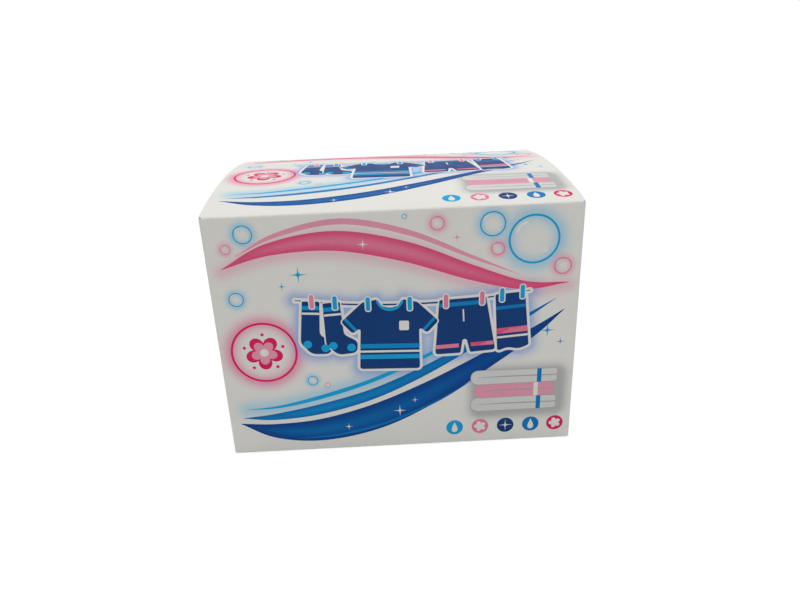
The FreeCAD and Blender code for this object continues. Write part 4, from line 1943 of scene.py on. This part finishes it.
@dataclass
class MeasuringSpoon:
    """The moulded spoon that lies on the powder."""

    bowl_length: float = 47.0
    bowl_width: float = 36.0
    bowl_depth: float = 21.0
    nose_slope: float = 11.0
    heel_slope: float = 4.0
    side_slope: float = 4.0
    corner: float = 6.0
    knee: float = 2.5
    wall: float = 1.1
    lip_width: float = 1.5
    lip_thickness: float = 1.2
    handle_length: float = 45.0
    handle_width: float = 12.0
    root_width: float = 24.0
    flare: float = 12.0
    flare_radius: float = 18.0
    plate: float = 1.3
    edge_depth: float = 2.8
    edge_width: float = 1.0
    hole_diameter: float = 4.5
    hole_from_tip: float = 6.5
    handle_root: float = 0.6
    handle_drop: float = 0.15
    turn: float = -9.0
    aside: Triple = (1.0, 6.0, 77.0)
    softness: float = 0.25

    def ring(self, inset: float, level: float) -> Array:
        """The bowl's outline at a level.

        Args:
            inset: How far it is moved in.
            level: The level, below the bowl's rim.

        Returns:
            Its points.
        """
        slope = -level / self.bowl_depth
        nose = -self.bowl_length + inset + self.nose_slope * slope
        heel = -inset - self.heel_slope * slope
        half = self.bowl_width / 2 - inset - self.side_slope * slope
        corners = [(nose, -half), (heel, -half), (heel, half), (nose, half)]
        return lifted(rounded(corners, self.corner - inset, 0.16), level)

    def bowl(self, surface: Surface) -> None:
        """Adds the bowl: its outside, the lip round its rim and its hollow.

        Args:
            surface: What it is added to.
        """
        soft = self.softness
        lip = -self.lip_width
        below = -self.lip_thickness
        rings = [self.ring(0.0, below), self.ring(lip + soft, below), self.ring(lip, below + soft)]
        rings += [self.ring(lip, -soft), self.ring(lip + soft, 0.0), self.ring(self.wall - soft, 0.0)]
        rings.append(self.ring(self.wall, -soft))
        outer = []
        inner = []
        for angle in np.linspace(0, QUARTER, 7):
            inset = self.knee / 2 * (1 - math.cos(angle))
            level = self.knee - self.bowl_depth - self.knee * math.sin(angle)
            outer.append(self.ring(inset, level))
            inner.append(self.ring(self.wall + inset, level + self.wall))
        surface.skin(outer[::-1] + rings + inner)
        surface.sheet(outer[-1][:, :2], [], -self.bowl_depth, False)
        surface.sheet(inner[-1][:, :2], [], self.wall - self.bowl_depth, True)

    def handle_plan(self, inset: float) -> Array:
        """The handle's outline.

        Args:
            inset: How far it is moved in.

        Returns:
            Its points.
        """
        root = inset - self.handle_root
        tip = self.handle_length - inset
        half = self.handle_width / 2 - inset
        half_root = self.root_width / 2 - inset
        corners = [(root, -half_root), (self.flare, -half), (tip, -half)]
        corners += [(tip, half), (self.flare, half), (root, half_root)]
        radii = [0.1, self.flare_radius, 0.98 * half]
        return rounded(corners, radii + radii[::-1], 0.12)

    def handle(self, surface: Surface) -> None:
        """Adds the handle: a plate with a turned-down edge and a hole to hang it by.

        Args:
            surface: What it is added to.
        """
        soft = self.softness
        top, side, groove = (self.handle_plan(inset) for inset in (soft, 0.0, self.edge_width))
        sizes = self.hole_diameter / 2 + np.array((soft, 0.0, self.edge_width))
        hole_x = self.handle_length - self.hole_from_tip
        wide, hole, boss = (around(hole_x, 0.0, np.full(36, size)) for size in sizes)
        face = -self.handle_drop
        low = -self.edge_depth
        under = face - self.plate
        for outer, edge, inner in ((top, side, groove), (wide, hole, boss)):
            rings = [lifted(outer, face), lifted(edge, face - soft), lifted(edge, low)]
            surface.skin([*rings, lifted(inner, low)])
            surface.skin([lifted(inner, low), lifted(inner, under)])
        surface.sheet(top, [wide], face, True)
        surface.sheet(groove, [boss], under, False)

    def build(self, material: Material) -> Object:
        """Moulds the spoon and lays it on the powder.

        Args:
            material: What it is made of.

        Returns:
            The spoon.
        """
        surface = Surface()
        self.bowl(surface)
        self.handle(surface)
        along, aside, level = self.aside
        for points in surface.points:
            points[:, 0] += along
            points[:, :2] = placed(points[:, :2], 0, aside, self.turn)
            points[:, 2] += level
        return surface.build("measuring_spoon_moulded", material, 38)

    def bed(self, x: Array, y: Array, play: float) -> Array:
        """The height of the bowl's underside over a plan.

        Args:
            x: The plan's places across the box.
            y: Its places along the box's depth.
            play: The room that is left round the bowl.

        Returns:
            The heights, infinity beside the bowl.
        """
        flat = np.column_stack((x.ravel(), y.ravel() - self.aside[1]))
        flat = placed(flat, 0, 0, -self.turn) - (self.aside[0], 0)
        found = np.full(len(flat), np.inf)
        for level in np.linspace(0, -self.bowl_depth, 43):
            inside = winding(flat, self.ring(-play, level)[:, :2]) != 0
            found[inside] = self.aside[2] + level - play
        return found.reshape(x.shape)


@dataclass
class PowderFill:
    """The loose powder, with an uneven top, the spoon's bed and scattered grains."""

    half_width: float = 61.25
    half_depth: float = 43.25
    low: float = 1.5
    level: float = 61.0
    swell: float = 1.2
    waves: Pair = (2.3 / 125, 1.7 / 89)
    wave_starts: Pair = (0.6, -0.4)
    lumps: tuple[Pair, ...] = ((9.0, 0.35), (3.4, 0.3), (1.4, 0.22))
    span: Pair = (140, 100)
    step: float = 1.0
    bed_play: float = 0.5
    grain_play: float = 2.5
    seed: int = 11
    grains: int = 1500
    blue_grains: int = 220

    def swelling(self, x: Array, y: Array) -> Array:
        """The height of the broad waves of the powder's top over a plan."""
        across, along = (
            np.cos(wave * math.pi * place + start)
            for wave, place, start in zip(self.waves, (x, y), self.wave_starts)
        )
        return self.level + self.swell * across * along

    def rubble(self, x: Array, y: Array) -> Array:
        """Small lumps on the top, the same each time.

        Args:
            x: The plan's places across the box.
            y: Its places along the box's depth.

        Returns:
            What the lumps add to the height.
        """
        found = np.zeros(x.shape)
        chance = np.random.default_rng(self.seed)
        for size, height in self.lumps:
            table = chance.random([int(wide / size) + 3 for wide in self.span]) - 0.5
            u, v = ((place + wide / 2) / size for place, wide in zip((x, y), self.span))
            i, j = (np.floor(place).astype(int) for place in (u, v))
            a, b = (gone * gone * (3 - 2 * gone) for gone in (u - i, v - j))
            lower = table[i, j] * (1 - a) + table[i + 1, j] * a
            upper = table[i, j + 1] * (1 - a) + table[i + 1, j + 1] * a
            found += height * (lower * (1 - b) + upper * b)
        return found

    def top(self, x: Array, y: Array, spoon: MeasuringSpoon) -> Array:
        """The height of the powder over a plan."""
        bed = spoon.bed(x, y, self.bed_play)
        return np.minimum(self.swelling(x, y) + self.rubble(x, y), bed)

    def build(self, spoon: MeasuringSpoon, material: Material) -> Object:
        """Fills the box with powder.

        Args:
            spoon: The spoon that lies in it.
            material: What the powder is made of.

        Returns:
            The powder.
        """
        across, along = (
            np.linspace(-half, half, int(2 * half / self.step) + 1)
            for half in (self.half_width, self.half_depth)
        )
        x, y = np.meshgrid(across, along)
        points = np.column_stack((x.ravel(), y.ravel(), self.top(x, y, spoon).ravel()))
        cells = np.arange(x.size).reshape(x.shape)
        faces = np.stack((cells[:-1, :-1], cells[:-1, 1:], cells[1:, 1:], cells[1:, :-1]), axis=2)
        surface = Surface()
        surface.add(points, faces.reshape(-1, 4).tolist())
        rim = points[[*cells[0], *cells[1:, -1], *cells[-1, -2::-1], *cells[-2:0:-1, 0]]]
        surface.skin([rim, lifted(rim[:, :2], self.low)])
        surface.sheet(rim[:, :2], [], self.low, False)
        return surface.build("powder_fill", material, 80)

    def scatter(
        self, name: str, count: int, size: float, spoon: MeasuringSpoon, material: Material
    ) -> Object:
        """Scatters grains over the top.

        Args:
            name: The piece's name.
            count: How many grains.
            size: Their middle radius in millimetres.
            spoon: The spoon, in whose bed no grain lies.
            material: What the grains are made of.

        Returns:
            All the grains as one object.
        """
        chance = np.random.default_rng(self.seed + count)
        golden = (1 + math.sqrt(5)) / 2
        signs = [(s, t * golden) for s in (-1, 1) for t in (-1, 1)]
        corners = [(0, s, t) for s, t in signs]
        corners += [(s, t, 0) for s, t in signs]
        corners += [(t, 0, s) for s, t in signs]
        hull = bmesh.new()
        for corner in np.asarray(corners, float) / math.hypot(1, golden):
            hull.verts.new(corner)
        bmesh.ops.convex_hull(hull, input=hull.verts)
        hull.verts.index_update()
        ball = np.array([tuple(vertex.co) for vertex in hull.verts])
        faces = [tuple(vertex.index for vertex in face.verts) for face in hull.faces]
        hull.free()
        x = chance.uniform(-self.half_width + 1, self.half_width - 1, count)
        y = chance.uniform(-self.half_depth + 1, self.half_depth - 1, count)
        clear = np.isinf(spoon.bed(x, y, self.grain_play))
        heights = self.top(x, y, spoon)
        surface = Surface()
        for index in np.flatnonzero(clear):
            stretch = size * chance.uniform(0.65, 1.35, 3)
            surface.add(ball * stretch + (x[index], y[index], heights[index] + 0.1), faces)
        mesh = bpy.data.meshes.new(name)
        mesh.from_pydata((np.vstack(surface.points) * MM).tolist(), [], surface.faces)
        mesh.materials.append(material)
        return linked(name, smoothed(mesh))


# The studio


@dataclass(frozen=True)
class PhotoCamera:
    """The photograph's view: angles in degrees, places as shares of the box's width."""

    azimuth: float = -1.22
    elevation: float = 23.11
    roll: float = -2.20
    distance: float = 2.187
    target: Triple = (0.016, 0.0, 0.3218)
    lens: float = 29.83
    sensor: float = 36.0

    def build(self, width: float) -> None:
        """Places the camera.

        Args:
            width: The box's width in metres.
        """
        turn = math.radians(self.azimuth)
        climb = math.radians(self.elevation)
        lean = math.radians(self.roll)
        level = Vector((math.cos(turn), math.sin(turn), 0))
        away = Vector((math.sin(turn), -math.cos(turn), 0))
        back = math.cos(climb) * away + Vector((0, 0, math.sin(climb)))
        right = math.cos(lean) * level + math.sin(lean) * back.cross(level)
        data = bpy.data.cameras.new("photo_camera")
        data.sensor_fit = "HORIZONTAL"
        data.sensor_width = self.sensor
        data.lens = self.lens
        data.clip_start = 0.01
        place = (Vector(self.target) + self.distance * back) * width
        turned = Matrix((right, back.cross(right), back)).transposed().to_4x4()
        camera = linked("photo_camera", data)
        camera.matrix_world = Matrix.Translation(place) @ turned
        bpy.context.scene.camera = camera


@dataclass(frozen=True)
class Studio:
    """A white floor, an even white surround and a soft lamp above."""

    floor_size: float = 8.0
    floor_shade: float = 0.88
    shadow_share: float = 0.42
    shadow_reach: Pair = (0.12, 0.34)
    floor_glow: float = 1.3
    surround: float = 0.33
    lamp_place: Triple = (0.03, -0.14, 1.6)
    lamp_size: float = 1.5
    lamp_power: float = 16.8

    def build(self) -> None:
        """Builds the floor, the surround and the lamp."""
        self.build_floor()
        self.build_surround()
        data = bpy.data.lights.new("top_softbox", "AREA")
        data.shape = "DISK"
        data.size = self.lamp_size
        data.energy = self.lamp_power
        lamp = linked("top_softbox", data)
        lamp.location = self.lamp_place
        lamp.rotation_euler = (-Vector(self.lamp_place)).to_track_quat("-Z", "Y").to_euler()

    def seen(self, nodes: Nodes) -> NodeSocket:
        """What the camera sees, itself, in gloss or through glass.

        Args:
            nodes: The builder of the nodes that ask.

        Returns:
            A socket that gives 1 for it, and 0 for the rest.
        """
        path = nodes.add("ShaderNodeLightPath").outputs
        seen = nodes.maths("ADD", path["Is Camera Ray"], path["Is Glossy Ray"])
        seen = nodes.maths("ADD", seen, path["Is Transmission Ray"])
        return nodes.maths("MINIMUM", seen, 1.0)

    def build_floor(self) -> None:
        """The floor, which is white to the camera and keeps the box's shadow."""
        half = self.floor_size / 2
        mesh = bpy.data.meshes.new("floor")
        corners = [(-half, -half, 0), (half, -half, 0), (half, half, 0), (-half, half, 0)]
        mesh.from_pydata(corners, [], [(0, 1, 2, 3)])
        material = bpy.data.materials.new("floor_white")
        material.use_nodes = True
        nodes = Nodes(material.node_tree)
        shade = (self.floor_shade,) * 3
        matte = nodes.feed(nodes.add("ShaderNodeBsdfDiffuse"), {"Color": shade})
        length = nodes.add("ShaderNodeVectorMath", operation="LENGTH")
        away = nodes.feed(length, {0: nodes.place()}).outputs["Value"]
        strength = nodes.ranged(away, self.shadow_reach, (self.floor_glow, 1.0))
        glow = nodes.ranged(away, self.shadow_reach, (1 - self.shadow_share, 1.0))
        values = {"Color": (1.0, 1.0, 1.0), "Strength": strength}
        light = nodes.feed(nodes.add("ShaderNodeEmission"), values)
        share = nodes.maths("MULTIPLY", self.seen(nodes), glow)
        values = {0: share, 1: matte.outputs[0], 2: light.outputs[0]}
        both = nodes.feed(nodes.add("ShaderNodeMixShader"), values)
        nodes.feed(nodes.add("ShaderNodeOutputMaterial"), {"Surface": both.outputs[0]})
        mesh.materials.append(material)
        floor = linked("floor", mesh)

    def build_surround(self) -> None:
        """An even surround, white where the camera sees it."""
        world = bpy.data.worlds.new("surround")
        world.use_nodes = True
        nodes = Nodes(world.node_tree)
        strength = nodes.ranged(self.seen(nodes), (0.0, 1.0), (self.surround, 1.0))
        values = {"Color": (1.0, 1.0, 1.0), "Strength": strength}
        white = nodes.feed(nodes.add("ShaderNodeBackground"), values)
        nodes.feed(nodes.add("ShaderNodeOutputWorld"), {"Surface": white.outputs[0]})
        bpy.context.scene.world = world


def plain(box: tuple[Vector, Vector]) -> list[list[float]]:
    """A box as plain lists of numbers."""
    return [[float(value) for value in corner] for corner in box]


def report(piece: Object) -> None:
    """Logs a finished piece."""
    log.info("%s: %d points, %d faces", piece.name, len(piece.data.vertices), len(piece.data.polygons))


def main() -> None:
    """Loads the frame and builds every piece around it."""
    logging.basicConfig(level=logging.INFO, format="%(name)s %(message)s")
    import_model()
    scene = bpy.context.scene
    scene.view_settings.view_transform = "Standard"
    low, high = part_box("carton")
    PhotoCamera().build(high.x - low.x)
    Studio().build()

    effects = SharedEffects()
    board = [finish.make(effects) for finish in INK_FINISHES]
    board += [INSIDE.make(effects), CUT_EDGE.make(effects)]

    carton = CartonBoard(art=Artwork().draw()).build(board)
    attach(carton, "box")
    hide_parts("carton")
    report(carton)

    spoon = MeasuringSpoon()
    fill = PowderFill()
    powder = fill.build(spoon, POWDER.make(effects))
    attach(powder, "box")
    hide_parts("powder")
    report(powder)
    for name, count, size, finish in (
        ("powder_loose_grains", fill.grains, 0.36, GRAINS),
        ("powder_blue_grains", fill.blue_grains, 0.42, BLUE_GRAINS),
    ):
        grains = fill.scatter(name, count, size, spoon, finish.make(effects))
        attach(grains, "box")
        report(grains)

    moulded = spoon.build(SPOON.make())
    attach(moulded, "box")
    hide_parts("measuring_spoon")
    report(moulded)

    lid = LidBoard(art=Artwork(blue_wave=0.5).draw()).build(board)
    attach(lid, "lid")
    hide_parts("lid")
    report(lid)


if __name__ == "__main__":
    main()
